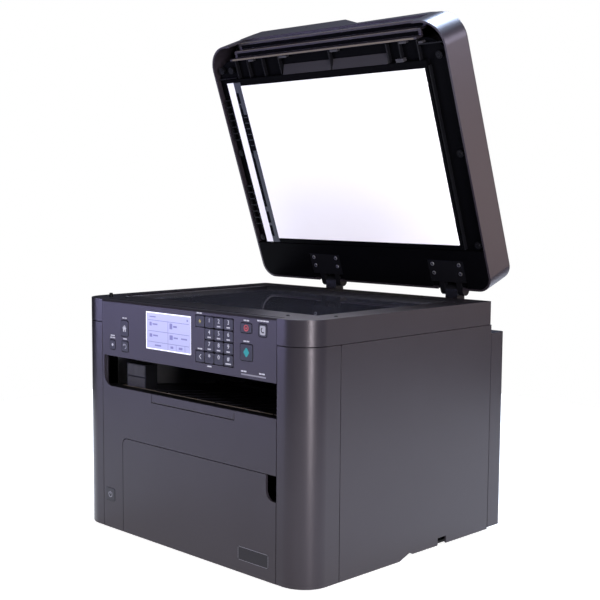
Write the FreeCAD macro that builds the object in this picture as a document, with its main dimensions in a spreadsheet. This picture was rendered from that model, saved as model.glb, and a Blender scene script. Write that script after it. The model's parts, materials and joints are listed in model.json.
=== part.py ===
import FreeCAD, Part
import os
import re
import Sketcher

# Desktop all-in-one printer: a printing unit with a flatbed reader on top and a lid that
# carries a document feeder.  Millimetres, +X to the right, +Y to the back, +Z up.
# Every size below is written from the middle of the width, from the front face backwards
# and from the table upwards.  Pieces of the lid are drawn with the lid shut and then turned
# about the hinge, because the reference pose has the lid open.

SIZES = {
    # outside of the printing unit
    "bodyWidth": 390, "bodyHeight": 291, "sideDepth": 329, "rearDepth": 29.5,
    "frontY": -199.7, "cornerRadius": 33, "wall": 2.5, "seam": 0.8, "skirtZ": 4,
    "bandZ": 262.5, "wrapDepth": 54.5, "leftSeamX": 151, "rightSeamX": 153,
    "lapWidth": 6, "lapThick": 1.5, "backCornerRadius": 4,
    # side skirt steps and rear housing
    "stepStart": 158, "stepEnd": 176, "stepZ": 10.6, "rearSkirtZ": 8, "slotSkirtY": 229,
    "slotSkirtLen": 16, "slotSkirtTop": 17, "rearLow": 10, "rearTop": 252,
    "ventCount": 9, "ventFront": 192, "ventLong": 64, "ventLow": 190, "ventPitch": 5.6,
    "ventTall": 2.4, "rearVentInset": 9, "rearVentLong": 26, "rearVentLow": 150,
    "rearCornerRadius": 8, "rearDoorHalf": 150, "rearDoorLow": 58.5, "rearDoorTop": 228,
    "rearDoorGap": 0.5, "rearPivotZ": 63, "earDrop": 6,
    "barrelRadius": 3,
    # output slot and front
    "slotBottom": 184, "slotTop": 222, "slotCorner": 14, "slotEdge": 3, "lipDepth": 15,
    "doorLeft": 112, "doorTop": 122, "doorRound": 8, "doorThick": 3, "gripWide": 15,
    "gripTall": 28, "gripRound": 11, "doorPivotY": 5, "doorPivotZ": 8, "pinRadius": 2,
    "runFit": 0.05, "pinLength": 4, "earThick": 3, "doorRibDeep": 6,
    "flapLeft": 56, "flapRight": 88, "flapTall": 11, "flapThick": 2.4, "flapGap": 0.5,
    "powerX": -137.3, "powerZ": 46.5, "powerWide": 17.5, "powerTall": 16, "capGap": 0.35,
    "capProud": 0.4, "capDeep": 5, "keyRound": 2,
    # operation panel
    "panelDeep": 10, "panelFace": 3, "panelFrame": 2.5, "panelPivotY": 5, "panelPivotZ": 286.4,
    "panelPin": 1.5, "panelBack": 12.8, "screenLeft": -66, "screenRight": 16.3,
    "screenLow": 237.5, "screenHigh": 282.5, "screenSunk": 0.8, "screenGap": 0.3,
    "screenEdge": 2, "screenDeep": 3.5,
    "padLeft": 24.2, "padTop": 285, "keyPitchX": 15.6, "keyPitchZ": 13.35, "keySlit": 0.8,
    # reader (scanner) housing
    "rimThick": 3, "glassThick": 3, "glassMargin": 4, "windowLeft": -148, "windowRight": 162,
    "windowFront": 53, "windowBack": 285, "feedGlassLeft": -176, "feedGlassRight": -159,
    "feedGlassFront": 48, "feedGlassBack": 283, "skirtDrop": 7,
    "trayFloor": 2.5, "trayLow": 255, "trayClear": 0.6, "carriageLeft": -180,
    "carriageWide": 26, "carriageFront": 52, "carriageBack": 282, "carriageLow": 262.2,
    "carriageTall": 19, "railY": 160, "railWide": 8, "railTop": 262,
    # inside
    "frameX": 158, "frameThick": 1.5, "frameFront": 30, "frameBehind": 7, "panLow": 5,
    "panThick": 3, "panFront": 14, "panBehind": 3, "panHalf": 184, "trayZ": 14,
    "trayBack": 250, "guideFront": 28, "guideLong": 120, "guideTall": 31, "guideThick": 2.5,
    "guideFoot": 22, "guideGap": 0.2, "paperCentre": 20, "paperHalf": 108.5,
    "footRadius": 9, "footInset": 30, "footFront": 48, "footRear": 300,
    "pickY": 150, "pickZ": 62, "pickShaft": 4, "pickRoller": 16, "pickHalf": 28,
    "exitY": 214, "exitZ": 204, "exitShaft": 3, "exitRoller": 8, "exitWide": 14,
    "exitPitch": 60, "shaftOver": 4,
    "drumY": 206, "drumZ": 104, "drumRadius": 12, "tonerFront": 66, "tonerBack": 190,
    "tonerLow": 92, "tonerHigh": 148, "tonerHalf": 150, "laserFront": 228, "laserLow": 205,
    "laserHigh": 246, "unitBehind": 4, "unitHalf": 144, "fuserFront": 262, "fuserLow": 132,
    "fuserHigh": 192, "fuserRoller": 14, "boardFront": 110, "boardBack": 300,
    "boardLow": 60, "boardHigh": 215, "boardThick": 1.6, "boardStand": 5,
    "motorY": 240, "motorZ": 110, "motorRadius": 21, "motorLong": 22, "gearWide": 6,
    "tonerPivotY": 198.5, "tonerPivotZ": 164.5, "coverFront": 16.2, "coverThick": 3,
    "coverMidY": 60, "coverMidZ": 178, "coverBackY": 196, "coverBackZ": 164,
    "coverHalf": 149, "gripLeft": 122, "gripBlockWide": 36, "gripBlockDeep": 18,
    "gripBlockTall": 29, "inletX": -130, "inletWide": 28, "inletTall": 21, "inletZ": 34,
    "inletDeep": 22, "portX": 120, "portWide": 13, "portTall": 12, "portPitch": 26,
    # lid hinge
    "lidOpen": 70, "hingeBehind": 10.4, "hingeRise": 9.8, "hingeLeftX": -70,
    "hingeRightX": 132, "knuckleRadius": 7, "knuckleHalf": 9, "knuckleGap": 0.3,
    "armHalf": 17, "hingePin": 3, "postGap": 0.3, "postCover": 1.2, "bracketLong": 29,
    "bracketInset": 10, "bracketThick": 2.5, "bracketSink": 0.5, "bracketHalf": 27,
    "notchHalf": 18.5, "screwHead": 3.2,
    # lid
    "lidGap": 1.3, "lidTall": 46.4, "lidOver": 7, "lidBackRadius": 20, "lidWall": 2.5,
    "lidRoof": 3, "lidTopRound": 5, "gripHalf": 153.5, "lipDrop": 12.7, "gripCount": 3,
    "gripInner": 21, "baseFront": 21.2, "baseRise": 6.7, "baseThick": 3, "baseClear": 0.3,
    "padFront": 46, "padBack": 282, "padRight": 163, "rearPlateFront": 283, "ribThick": 1.5,
    "sheetLeft": -147, "sheetRight": 160, "sheetFront": 55, "sheetBack": 275,
    "sheetThick": 1.7, "stripLeft": -173, "stripRight": -160.2, "stripFront": 50,
    "stripBack": 281, "barRight": -147.6, "barThick": 0.8, "barStep": 0.3, "slotLong": 16,
    "slotWide": 3.5, "slotPitch": 62,
    # document feeder on the lid
    "humpRise": 39.3, "humpLeft": -174, "humpFlatLeft": -171, "humpFlatRight": -17,
    "humpFootX": 33, "humpFootRise": 2.3, "humpRimX": 143, "humpRimRise": 6.3,
    "humpEndX": 160, "fenceFront": 1, "fenceThick": 4, "fenceBackY": 300, "fenceDeep": 2,
    "feederLeft": -180, "feederRight": -76, "feederBaseRise": 12.3, "feederRound": 18,
    "feederWall": 2.5, "feederGap": 0.6, "feederPivotX": -168, "feederPivotRise": 6,
    "feederBaseLeft": -153, "mouthFront": 40, "mouthBack": 264, "mouthRise": 11,
    "mouthTall": 9, "exitMouthRise": 2.3, "exitMouthTall": 7, "docLeft": -74,
    "docRight": 165, "docFront": 25, "docBack": 280, "docRise": 7, "docThick": 3,
    "docPivotX": -70, "docGuideLong": 70, "docGuideTall": 12, "docGuideThick": 2.5,
    "docGuideHalf": 108, "docGuideGap": 0.2, "docSlotHalf": 1.6,
}

# Places that follow from the sizes, each worked out once.
PLACES = {
    "rearAxisY": "sideDepth + rearDepth - barrelRadius", "frameBack": "sideDepth - frameBehind",
    "panBack": "sideDepth - panBehind", "unitBack": "frameBack - unitBehind",
    "hingeY": "sideDepth + hingeBehind", "hingeZ": "bodyHeight + hingeRise",
    "postFront": "sideDepth + seam / 2 + wall + postGap",
    "postBack": "hingeY + knuckleRadius + postCover",
    "lidLow": "bodyHeight + lidGap", "lidTop": "lidLow + lidTall",
    "lidBack": "sideDepth + lidOver", "lidLip": "lidTop - lipDrop",
    "baseUnder": "lidLow + baseRise", "baseTop": "baseUnder + baseThick",
    "bracketBack": "lidBack - bracketInset", "bracketFront": "bracketBack - bracketLong",
    "humpTop": "lidTop + humpRise", "humpFootZ": "lidTop + humpFootRise",
    "humpRimZ": "lidTop + humpRimRise", "fenceRoot": "lidTop - fenceDeep",
    "feederBaseTop": "lidTop + feederBaseRise",
    "feederPivotZ": "feederBaseTop + feederPivotRise",
    "mouthLow": "feederBaseTop + mouthRise", "mouthHigh": "mouthLow + mouthTall",
    "exitMouthLow": "lidTop + exitMouthRise", "exitMouthHigh": "exitMouthLow + exitMouthTall",
    "docLow": "feederBaseTop + docRise",
}

doc = FreeCAD.newDocument("printer")
sheet = doc.addObject("Spreadsheet::Sheet", "Dims")


def fillSheet():
    rows = list(SIZES.items()) + [(name, "=" + text) for name, text in PLACES.items()]
    for row, (name, size) in enumerate(rows, start=1):
        sheet.set(f"A{row}", name)
        sheet.set(f"B{row}", str(size))
        sheet.setAlias(f"B{row}", name)
    doc.recompute()


def ex(text):
    """The same expression with every size name pointing into the sheet."""
    return re.sub(r"[A-Za-z]+", lambda word: "Dims." + word[0]
                  if word[0] in SIZES or word[0] in PLACES else word[0], str(text))


def val(text):
    return float(sheet.evalExpression(ex(text)))


# ---- Part primitives --------------------------------------------------------------------

def box(name, x, y, z):
    piece = doc.addObject("Part::Box", name)
    for prop, axis, (low, high) in zip(("Length", "Width", "Height"), "xyz", (x, y, z)):
        piece.setExpression(prop, ex(f"({high}) - ({low})"))
        piece.setExpression(f"Placement.Base.{axis}", ex(low))
    return piece


TURNS = {"X": FreeCAD.Rotation(FreeCAD.Vector(0, 1, 0), 90),
         "Y": FreeCAD.Rotation(FreeCAD.Vector(1, 0, 0), -90),
         "Z": FreeCAD.Rotation()}


def rod(name, axis, start, radius, length):
    """A cylinder from the point start along +axis."""
    piece = doc.addObject("Part::Cylinder", name)
    piece.Placement.Rotation = TURNS[axis]
    piece.setExpression("Radius", ex(radius))
    piece.setExpression("Height", ex(length))
    for letter, place in zip("xyz", start):
        piece.setExpression(f"Placement.Base.{letter}", ex(place))
    return piece


def joined(name, pieces):
    fuse = doc.addObject("Part::MultiFuse", name)
    fuse.Shapes = pieces
    return fuse


def cutAway(name, base, tools):
    cut = doc.addObject("Part::Cut", name)
    cut.Base = base
    cut.Tool = tools[0] if len(tools) == 1 else joined(name + "_tools", tools)
    return cut


# ---- sketched mouldings -----------------------------------------------------------------

PLANES = {"XY": ("XY_Plane", 1), "XZ": ("XZ_Plane", -1), "YZ": ("YZ_Plane", 1)}


def rect(left, right, low, high):
    return [(left, low), (right, low), (right, high), (left, high)]


def drawLoop(sketch, points):
    """A closed polygon whose corners are held by expressions."""
    first = sketch.GeometryCount
    spots = [FreeCAD.Vector(val(u), val(v), 0) for u, v in points]
    count = len(points)
    for index in range(count):
        sketch.addGeometry(Part.LineSegment(spots[index], spots[(index + 1) % count]))
    for index in range(count):
        sketch.addConstraint(Sketcher.Constraint(
            "Coincident", first + index, 2, first + (index + 1) % count, 1))
    for index, pair in enumerate(points):
        for kind, text in zip(("DistanceX", "DistanceY"), pair):
            number = sketch.addConstraint(Sketcher.Constraint(
                kind, -1, 1, first + index, 1, val(text)))
            sketch.setExpression(f"Constraints[{number}]", ex(text))


def drawCircle(sketch, u, v, radius):
    first = sketch.addGeometry(Part.Circle(FreeCAD.Vector(val(u), val(v), 0),
                                           FreeCAD.Vector(0, 0, 1), val(radius)))
    for kind, text in (("DistanceX", u), ("DistanceY", v)):
        number = sketch.addConstraint(Sketcher.Constraint(kind, -1, 1, first, 3, val(text)))
        sketch.setExpression(f"Constraints[{number}]", ex(text))
    number = sketch.addConstraint(Sketcher.Constraint("Radius", first, val(radius)))
    sketch.setExpression(f"Constraints[{number}]", ex(radius))


class Moulding:
    """One PartDesign body, built feature by feature between two places on an axis."""

    def __init__(self, name):
        self.body = doc.addObject("PartDesign::Body", name)
        self.name = name

    def sketch(self, plane, loops, start):
        role, sign = PLANES[plane]
        sketch = self.body.newObject("Sketcher::SketchObject", self.name + "_sketch")
        planes = [item for item in self.body.Origin.OriginFeatures if item.Role == role]
        sketch.AttachmentSupport = [(planes[0], "")]
        sketch.MapMode = "FlatFace"
        sketch.setExpression("AttachmentOffset.Base.z", ex(f"{sign} * ({start})"))
        for loop in loops:
            if len(loop) == 3 and isinstance(loop[0], (str, int, float)):
                drawCircle(sketch, *loop)
            else:
                drawLoop(sketch, loop)
        return sketch, sign

    def pad(self, plane, loops, low, high):
        sketch, sign = self.sketch(plane, loops, low)
        pad = self.body.newObject("PartDesign::Pad", self.name + "_pad")
        pad.Profile = sketch
        pad.setExpression("Length", ex(f"({high}) - ({low})"))
        pad.Reversed = sign < 0
        return self

    def pocket(self, plane, loops, low, high):
        doc.recompute()
        before = self.body.Shape.Volume
        sketch, sign = self.sketch(plane, loops, low)
        pocket = self.body.newObject("PartDesign::Pocket", self.name + "_pocket")
        pocket.Profile = sketch
        pocket.setExpression("Length", ex(f"({high}) - ({low})"))
        pocket.Reversed = sign > 0
        doc.recompute()
        if self.body.Shape.Volume > before - 1e-3:
            raise RuntimeError(f"a pocket of {self.name} cuts nothing")
        return self

    def edges(self, axis, places):
        """Straight edges along axis that stand at the given places across it."""
        across = [i for i in range(3) if "XYZ"[i] != axis]
        wanted = [tuple(val(text) for text in place) for place in places]
        found = []
        for number, edge in enumerate(self.body.Tip.Shape.Edges, start=1):
            ends = [vertex.Point for vertex in edge.Vertexes]
            if len(ends) != 2 or edge.Curve.TypeId != "Part::GeomLine":
                continue
            for place in wanted:
                if all(abs(end[i] - place[k]) < 1e-3
                       for end in ends for k, i in enumerate(across)):
                    found.append(f"Edge{number}")
        return found

    def level(self, height):
        """Edges of the outer outline at one height."""
        top = val(height)
        found = []
        for number, edge in enumerate(self.body.Tip.Shape.Edges, start=1):
            if all(abs(vertex.Point.z - top) < 1e-3 for vertex in edge.Vertexes):
                found.append(f"Edge{number}")
        return found

    def round(self, size, axis, *places):
        doc.recompute()
        return self.dress("Fillet", size, self.edges(axis, places))

    def roundLevel(self, size, height):
        doc.recompute()
        return self.dress("Fillet", size, self.level(height))

    def dress(self, kind, size, names):
        if not names:
            raise RuntimeError(f"{self.name} has no edge to {kind.lower()}")
        tip = self.body.Tip
        feature = self.body.newObject("PartDesign::" + kind, f"{self.name}_{kind.lower()}")
        feature.Base = (tip, names)
        feature.setExpression("Radius" if kind == "Fillet" else "Size", ex(size))
        doc.recompute()
        return self


# ---- places ------------------------------------------------------------------------------

LID_PLACE = ("placement(vector(0; frontY; 0); rotation(vector(1; 0; 0); -lidOpen);"
             " vector(0; hingeY; hingeZ))")
nodes = []


def node(name, piece, lid=False):
    """Names a finished sub-part and puts it where it stands in the reference pose."""
    if isinstance(piece, Moulding):
        piece = piece.body
    elif piece.TypeId in ("Part::Box", "Part::Cylinder"):
        wrap = doc.addObject("Part::Compound", name)
        wrap.Links = [piece]
        piece = wrap
    piece.Label = name
    if lid:
        piece.setExpression("Placement", ex(LID_PLACE))
    else:
        piece.setExpression("Placement.Base.y", ex("frontY"))
    nodes.append(piece)
    return piece


HALF = "bodyWidth / 2"
GAP = "seam / 2"


# ---- housing of the printing unit ---------------------------------------------------------

def cornerCover(name, side, seamX):
    """The tall cover that wraps from the front round to the side; side is 1 or -1."""
    def across(inner, outer):
        return (f"{side} * ({inner})", f"{side} * ({outer})")[::side]
    cover = Moulding(name)
    left, right = across(f"{seamX} + {GAP}", HALF)
    cover.pad("XY", [rect(left, right, "0", f"wrapDepth - {GAP}")],
              "skirtZ", f"bandZ - {GAP}")
    left, right = across(f"{seamX} - 1", f"{HALF} - wall")
    cover.pocket("XY", [rect(left, right, "wall", "wrapDepth + 1")],
                 "skirtZ - 1", "bandZ + 1")
    cover.round("cornerRadius - wall", "Z", (f"{side} * ({HALF} - wall)", "wall"))
    cover.round("cornerRadius", "Z", (f"{side} * {HALF}", "0"))
    node(name, cover)


def vents(left, right, low):
    """A column of cooling slots."""
    return [rect(left, right, f"{low} + {step} * ventPitch",
                 f"{low} + {step} * ventPitch + ventTall") for step in range(SIZES["ventCount"])]


def sideCover(name, side):
    """Side wall with its stepped lower edge, and a lap that backs the corner cover."""
    outer = (f"{HALF} - wall", HALF)
    lap = (f"{HALF} - wall - lapThick", f"{HALF} - wall")
    if side < 0:
        outer = tuple(f"-({text})" for text in reversed(outer))
        lap = tuple(f"-({text})" for text in reversed(lap))
    front, back, top = f"wrapDepth + {GAP}", f"sideDepth - {GAP}", f"bandZ - {GAP}"
    outline = [(front, "skirtZ"), ("stepStart", "skirtZ"), ("stepEnd", "stepZ"),
               ("stepEnd + lapWidth", "rearSkirtZ"),
               ("slotSkirtY", "rearSkirtZ"), ("slotSkirtY", "slotSkirtTop"),
               ("slotSkirtY + slotSkirtLen", "slotSkirtTop"),
               ("slotSkirtY + slotSkirtLen", "rearSkirtZ"),
               (back, "rearSkirtZ"), (back, top), (front, top)]
    cover = Moulding(name)
    cover.pad("YZ", [outline], *outer)
    cover.pad("YZ", [rect(f"{front} - lapWidth", f"{front} + lapWidth",
                          "stepZ", "trayLow - 1")], *lap)
    if side < 0:
        cover.pocket("YZ", vents("ventFront", "ventFront + ventLong", "ventLow"),
                     f"-({HALF}) - 1", f"-({HALF}) + wall + 1")
    node(name, cover)


def frontCover():
    """Front wall between the corner covers, around the door and under the slot."""
    left, right = f"-leftSeamX + {GAP}", f"rightSeamX - {GAP}"
    edge = f"{left} + slotEdge"
    outline = [(left, "skirtZ"), (f"-doorLeft - {GAP}", "skirtZ"),
               (f"-doorLeft - {GAP}", f"doorTop + {GAP}"), (right, f"doorTop + {GAP}"),
               (right, "slotBottom"), (edge, "slotBottom"),
               (edge, f"slotTop - {GAP}"), (left, f"slotTop - {GAP}")]
    cover = Moulding("front_cover")
    cover.pad("XZ", [outline], "0", "wall")
    cover.round("slotCorner", "Y", (edge, "slotBottom"))
    cover.round("doorRound", "Y", (f"-doorLeft - {GAP}", f"doorTop + {GAP}"))
    cover.pad("XZ", [rect(edge, right, "slotBottom - wall", "slotBottom")], "wall", "lipDepth")
    cover.pad("XZ", [rect(f"{right} - lapWidth", f"{right} + lapWidth", f"doorTop + {GAP}",
                          "slotBottom - wall")], "wall", "wall + lapThick")
    cover.pad("XZ", [rect(f"{left} - lapWidth", f"{left} + lapWidth", "skirtZ",
                          f"slotTop - {GAP}")], "wall", "wall + lapThick")
    cover.pocket("XZ", [rect("-flapLeft", "flapRight", "slotBottom - flapTall",
                             "slotBottom + 1")], "-1", "wall + flapGap")
    cap = rect("powerX - powerWide / 2 - capGap", "powerX + powerWide / 2 + capGap",
               "powerZ - powerTall / 2 - capGap", "powerZ + powerTall / 2 + capGap")
    cover.pocket("XZ", [cap], "-1", "wall + lapThick + 1")
    cover.round("keyRound + capGap", "Y", *cap)
    node("front_cover", cover)


def rearPanel():
    """Housing behind the side walls, open to the inside, with the jam door's opening."""
    inner, back = f"{HALF} - wall", "sideDepth + rearDepth"
    front = f"sideDepth + {GAP}"
    panel = Moulding("rear_panel")
    panel.pad("XY", [rect(f"-{HALF}", HALF, front, back)], "rearLow", "rearTop")
    panel.pocket("XY", [rect(f"-({inner})", inner, f"{front} - 1", f"{back} - wall")],
                 "rearLow + wall", "rearTop - wall")
    panel.round("rearCornerRadius - wall", "Z", (f"-({inner})", f"{back} - wall"),
                (inner, f"{back} - wall"))
    panel.round("rearCornerRadius", "Z", (f"-{HALF}", back), (HALF, back))
    panel.pad("XZ", [rect(f"-({inner})", inner, "rearTop - wall", f"bandZ - {GAP}")],
              front, f"{front} + wall")
    for low, high in ((f"-({inner})", f"-({inner}) + lapThick"),
                      (f"{inner} - lapThick", inner)):
        panel.pad("YZ", [rect(f"{front} - lapWidth", f"{front} + lapWidth",
                              "slotSkirtTop", "rearTop - lapWidth")], low, high)
    panel.pocket("XZ", [rect("-rearDoorHalf", "rearDoorHalf", "rearDoorLow", "rearDoorTop")],
                 f"{back} - wall - 1", f"{back} + 1")
    ports = [rect("inletX - inletWide / 2", "inletX + inletWide / 2",
                  "inletZ - inletTall / 2", "inletZ + inletTall / 2")]
    ports += [rect(f"{x} - portWide / 2", f"{x} + portWide / 2", "inletZ - portTall / 2",
                   "inletZ + portTall / 2") for x in ("portX", "portX - portPitch")]
    panel.pocket("XZ", ports + vents("rearDoorHalf + rearVentInset",
                                     "rearDoorHalf + rearVentInset + rearVentLong",
                                     "rearVentLow"), f"{back} - wall - 1", f"{back} + 1")
    for side in ("-", ""):
        panel.pad("YZ", [rect("rearAxisY - barrelRadius", f"{back} - wall", "rearPivotZ - earDrop",
                              "rearPivotZ + barrelRadius")],
                  *sorted((f"{side}(rearDoorHalf + rearDoorGap)",
                           f"{side}(rearDoorHalf + rearDoorGap + earThick)"), key=val))
    panel.pocket("YZ", [("rearAxisY", "rearPivotZ", "pinRadius + runFit")],
                 "-rearDoorHalf - rearDoorGap - earThick - 1",
                 "rearDoorHalf + rearDoorGap + earThick + 1")
    node("rear_panel", panel)


def rearCover():
    """Jam door in the back wall; it swings out and down on two pins at its foot."""
    back = "sideDepth + rearDepth"
    half = "rearDoorHalf - rearDoorGap"
    door = Moulding("rear_cover")
    door.pad("XZ", [rect(f"-({half})", half, "rearPivotZ - barrelRadius",
                         "rearDoorTop - rearDoorGap")], f"{back} - wall", back)
    door.pad("YZ", [("rearAxisY", "rearPivotZ", "barrelRadius")], f"-({half})", half)
    door.pad("YZ", [("rearAxisY", "rearPivotZ", "pinRadius")],
             "-rearDoorHalf - rearDoorGap - earThick", "rearDoorHalf + rearDoorGap + earThick")
    for step in range(-2, 3):
        x = f"{step} * ({half}) / 3"
        door.pad("YZ", [rect(f"{back} - wall - doorRibDeep", f"{back} - wall",
                             "rearPivotZ + 3 * barrelRadius", "rearDoorTop - 3 * barrelRadius")],
                 f"{x} - ribThick / 2", f"{x} + ribThick / 2")
    node("rear_cover", door)


def basePan():
    """Floor pan with the paper floor on ribs and the ears of the front door."""
    floor = box("pan_floor", ("-panHalf", "panHalf"), ("panFront", "panBack"),
                ("panLow", "panLow + panThick"))
    paperLeft, paperRight = "-doorLeft + 2 * earThick", "rightSeamX - 2 * earThick"
    deck = box("pan_deck", (paperLeft, paperRight), ("panFront", "trayBack"),
               ("trayZ - panThick + 1", "trayZ"))
    pieces = [floor, deck]
    for index in range(5):
        x = f"{paperLeft} + {index} * ({paperRight} - ({paperLeft}) - ribThick) / 4"
        pieces.append(box(f"pan_rib{index}", (x, f"{x} + ribThick"), ("panFront", "trayBack"),
                          ("panLow + panThick", "trayZ - panThick + 1")))
    ears = []
    for index, x in enumerate((f"-doorLeft - {GAP} - earThick", f"rightSeamX + {GAP}")):
        ears.append(box(f"pan_ear{index}", (x, f"{x} + earThick"),
                        ("doorPivotY - barrelRadius + 1", "panFront + lapWidth"),
                        ("panLow", "doorPivotZ + barrelRadius + 1")))
    for index, y in enumerate(("footFront", "footRear")):
        for side in (-1, 1):
            spot = (f"{side} * ({HALF} - footInset)", y, "panLow - 1")
            pieces.append(rod(f"pan_boss{index}{side}", "Z", spot, "footRadius", "1"))
    holes = [rod("pan_hinge_hole", "X", ("-bodyWidth", "doorPivotY", "doorPivotZ"),
                 "pinRadius + runFit", "2 * bodyWidth")]
    node("base_pan", cutAway("base_pan", joined("pan_solid", pieces + ears), holes))


def feet():
    pads = []
    for y in ("footFront", "footRear"):
        for side in (-1, 1):
            spot = (f"{side} * ({HALF} - footInset)", y, "0")
            pads.append(rod("foot", "Z", spot, "footRadius", "panLow - 1"))
    node("feet", joined("feet", pads))


# ---- doors and flaps in front --------------------------------------------------------------

def frontDoor():
    """Paper door: falls forward onto the table on two pins at its lower corners."""
    left, right = f"-doorLeft + {GAP}", f"rightSeamX - {GAP}"
    top = f"doorTop - {GAP}"
    outline = [(left, "skirtZ"), (right, "skirtZ"), (right, f"{top} - gripTall"),
               (f"{right} - gripWide", f"{top} - gripTall"), (f"{right} - gripWide", top),
               (left, top)]
    door = Moulding("front_door")
    door.pad("XZ", [outline], "0", "doorThick")
    door.round("doorRound", "Y", (left, top))
    door.round("gripRound", "Y", (f"{right} - gripWide", f"{top} - gripTall"))
    door.pad("YZ", [("doorPivotY", "doorPivotZ", "barrelRadius")], left, right)
    door.pad("YZ", [("doorPivotY", "doorPivotZ", "pinRadius")],
             f"-doorLeft - {GAP} - earThick", f"rightSeamX + {GAP} + earThick")
    for index in range(4):
        x = f"{left} + doorRound + {index} * ({right} - ({left}) - 4 * doorRound) / 3"
        door.pad("YZ", [rect("doorThick", "doorThick + doorRibDeep",
                             "doorPivotZ + 3 * barrelRadius", f"{top} - doorRound")],
                 x, f"{x} + ribThick")
    node("front_door", door)


def paperStopper():
    """Flap in the edge of the slot, which folds forward to hold the sheets."""
    left, right = "-flapLeft + flapGap", "flapRight - flapGap"
    low = "slotBottom - flapTall + flapGap"
    flap = Moulding("paper_stopper")
    flap.pad("XZ", [rect(left, right, low, "slotBottom")], "0", "flapThick")
    flap.round("flapThick / 2 - 0.1", "X", ("0", low), ("flapThick", low))
    node("paper_stopper", flap)


def powerButton():
    cap = rect("powerX - powerWide / 2", "powerX + powerWide / 2",
               "powerZ - powerTall / 2", "powerZ + powerTall / 2")
    button = Moulding("power_button")
    button.pad("XZ", [cap], "-capProud", "capDeep")
    button.round("keyRound", "Y", *cap)
    node("power_button", button)


# ---- operation panel -------------------------------------------------------------------------

# The keys that stand alone: middle, width and height of each cap.
LONE_KEYS = {
    "key_home": (-106, 258, 14, 19), "key_back": (-105.5, 236, 13, 12.5),
    "key_status": (-130, 236, 10.5, 11), "key_stop": (107, 277, 17, 10.5),
    "key_energy": (132.3, 276.5, 12, 13.5), "key_start": (107.3, 250.5, 19, 18),
}
# Rows and columns of the keypad; the first column has a key in the first and last row only.
PAD_KEYS = (("key_reset", "key_1", "key_2", "key_3"), (None, "key_4", "key_5", "key_6"),
            (None, "key_7", "key_8", "key_9"), ("key_clear", "key_star", "key_0", "key_hash"))


def operationPanel():
    """Shell of the panel with its screen window and key openings."""
    left, right = f"-leftSeamX + {GAP}", f"rightSeamX - {GAP}"
    panel = Moulding("operation_panel")
    panel.pad("XZ", [rect(left, right, "slotTop", "bodyHeight")], "0", "panelDeep")
    panel.round("panelFace", "X", ("0", "bodyHeight"))
    panel.pocket("XZ", [rect(f"{left} + panelFrame", f"{right} - panelFrame",
                             "slotTop + panelFrame", "bodyHeight - 2 * panelFrame")],
                 "panelFace", "panelDeep + 1")
    panel.pad("YZ", [("panelPivotY", "panelPivotZ", "panelPin")],
              f"{left} - {GAP} - pinLength", f"{right} + {GAP} + pinLength")
    panel.pocket("XZ", [rect("screenLeft", "screenRight", "screenLow", "screenHigh")],
                 "-1", "panelFace + 1")
    low, high = "padTop - 4 * keyPitchZ - keySlit / 2", "padTop + keySlit / 2"
    inLow, inHigh = ("padTop - 3 * keyPitchZ + keySlit / 2", "padTop - keyPitchZ - keySlit / 2")
    near, far = "padLeft - keySlit / 2", "padLeft + 4 * keyPitchX + keySlit / 2"
    second = "padLeft + keyPitchX - keySlit / 2"
    panel.pocket("XZ", [[(near, low), (far, low), (far, high), (near, high), (near, inHigh),
                         (second, inHigh), (second, inLow), (near, inLow)]],
                 "-1", "panelFace + 1")
    holes = [rect(f"{x} - {wide} / 2 - capGap", f"{x} + {wide} / 2 + capGap",
                  f"{z} - {tall} / 2 - capGap", f"{z} + {tall} / 2 + capGap")
             for x, z, wide, tall in LONE_KEYS.values()]
    panel.pocket("XZ", holes, "-1", "panelFace + 1")
    panel.round("keyRound + capGap", "Y", *[corner for hole in holes for corner in hole])
    node("operation_panel", panel)


def screen():
    """Display module: a face in the window and a wider back behind the panel."""
    face = box("screen_face", ("screenLeft + screenGap", "screenRight - screenGap"),
               ("screenSunk", "panelFace"), ("screenLow + screenGap", "screenHigh - screenGap"))
    back = box("screen_back", ("screenLeft - screenEdge", "screenRight + screenEdge"),
               ("panelFace", "panelFace + screenDeep"),
               ("screenLow - screenEdge", "screenHigh + screenEdge"))
    node("lcd_screen", joined("lcd_screen", [face, back]))


def keyCap(name, x, z, wide, tall):
    cap = rect(f"{x} - ({wide}) / 2", f"{x} + ({wide}) / 2",
               f"{z} - ({tall}) / 2", f"{z} + ({tall}) / 2")
    key = Moulding(name)
    key.pad("XZ", [cap], "-capProud", "capDeep")
    key.round("keyRound", "Y", *cap)
    node(name, key)


def keys():
    for name, cap in LONE_KEYS.items():
        keyCap(name, *cap)
    for row, names in enumerate(PAD_KEYS):
        for column, name in enumerate(names):
            if name:
                keyCap(name, f"padLeft + {column + 0.5} * keyPitchX",
                       f"padTop - {row + 0.5} * keyPitchZ",
                       "keyPitchX - keySlit", "keyPitchZ - keySlit")


# ---- reader (scanner) ---------------------------------------------------------------------

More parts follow.
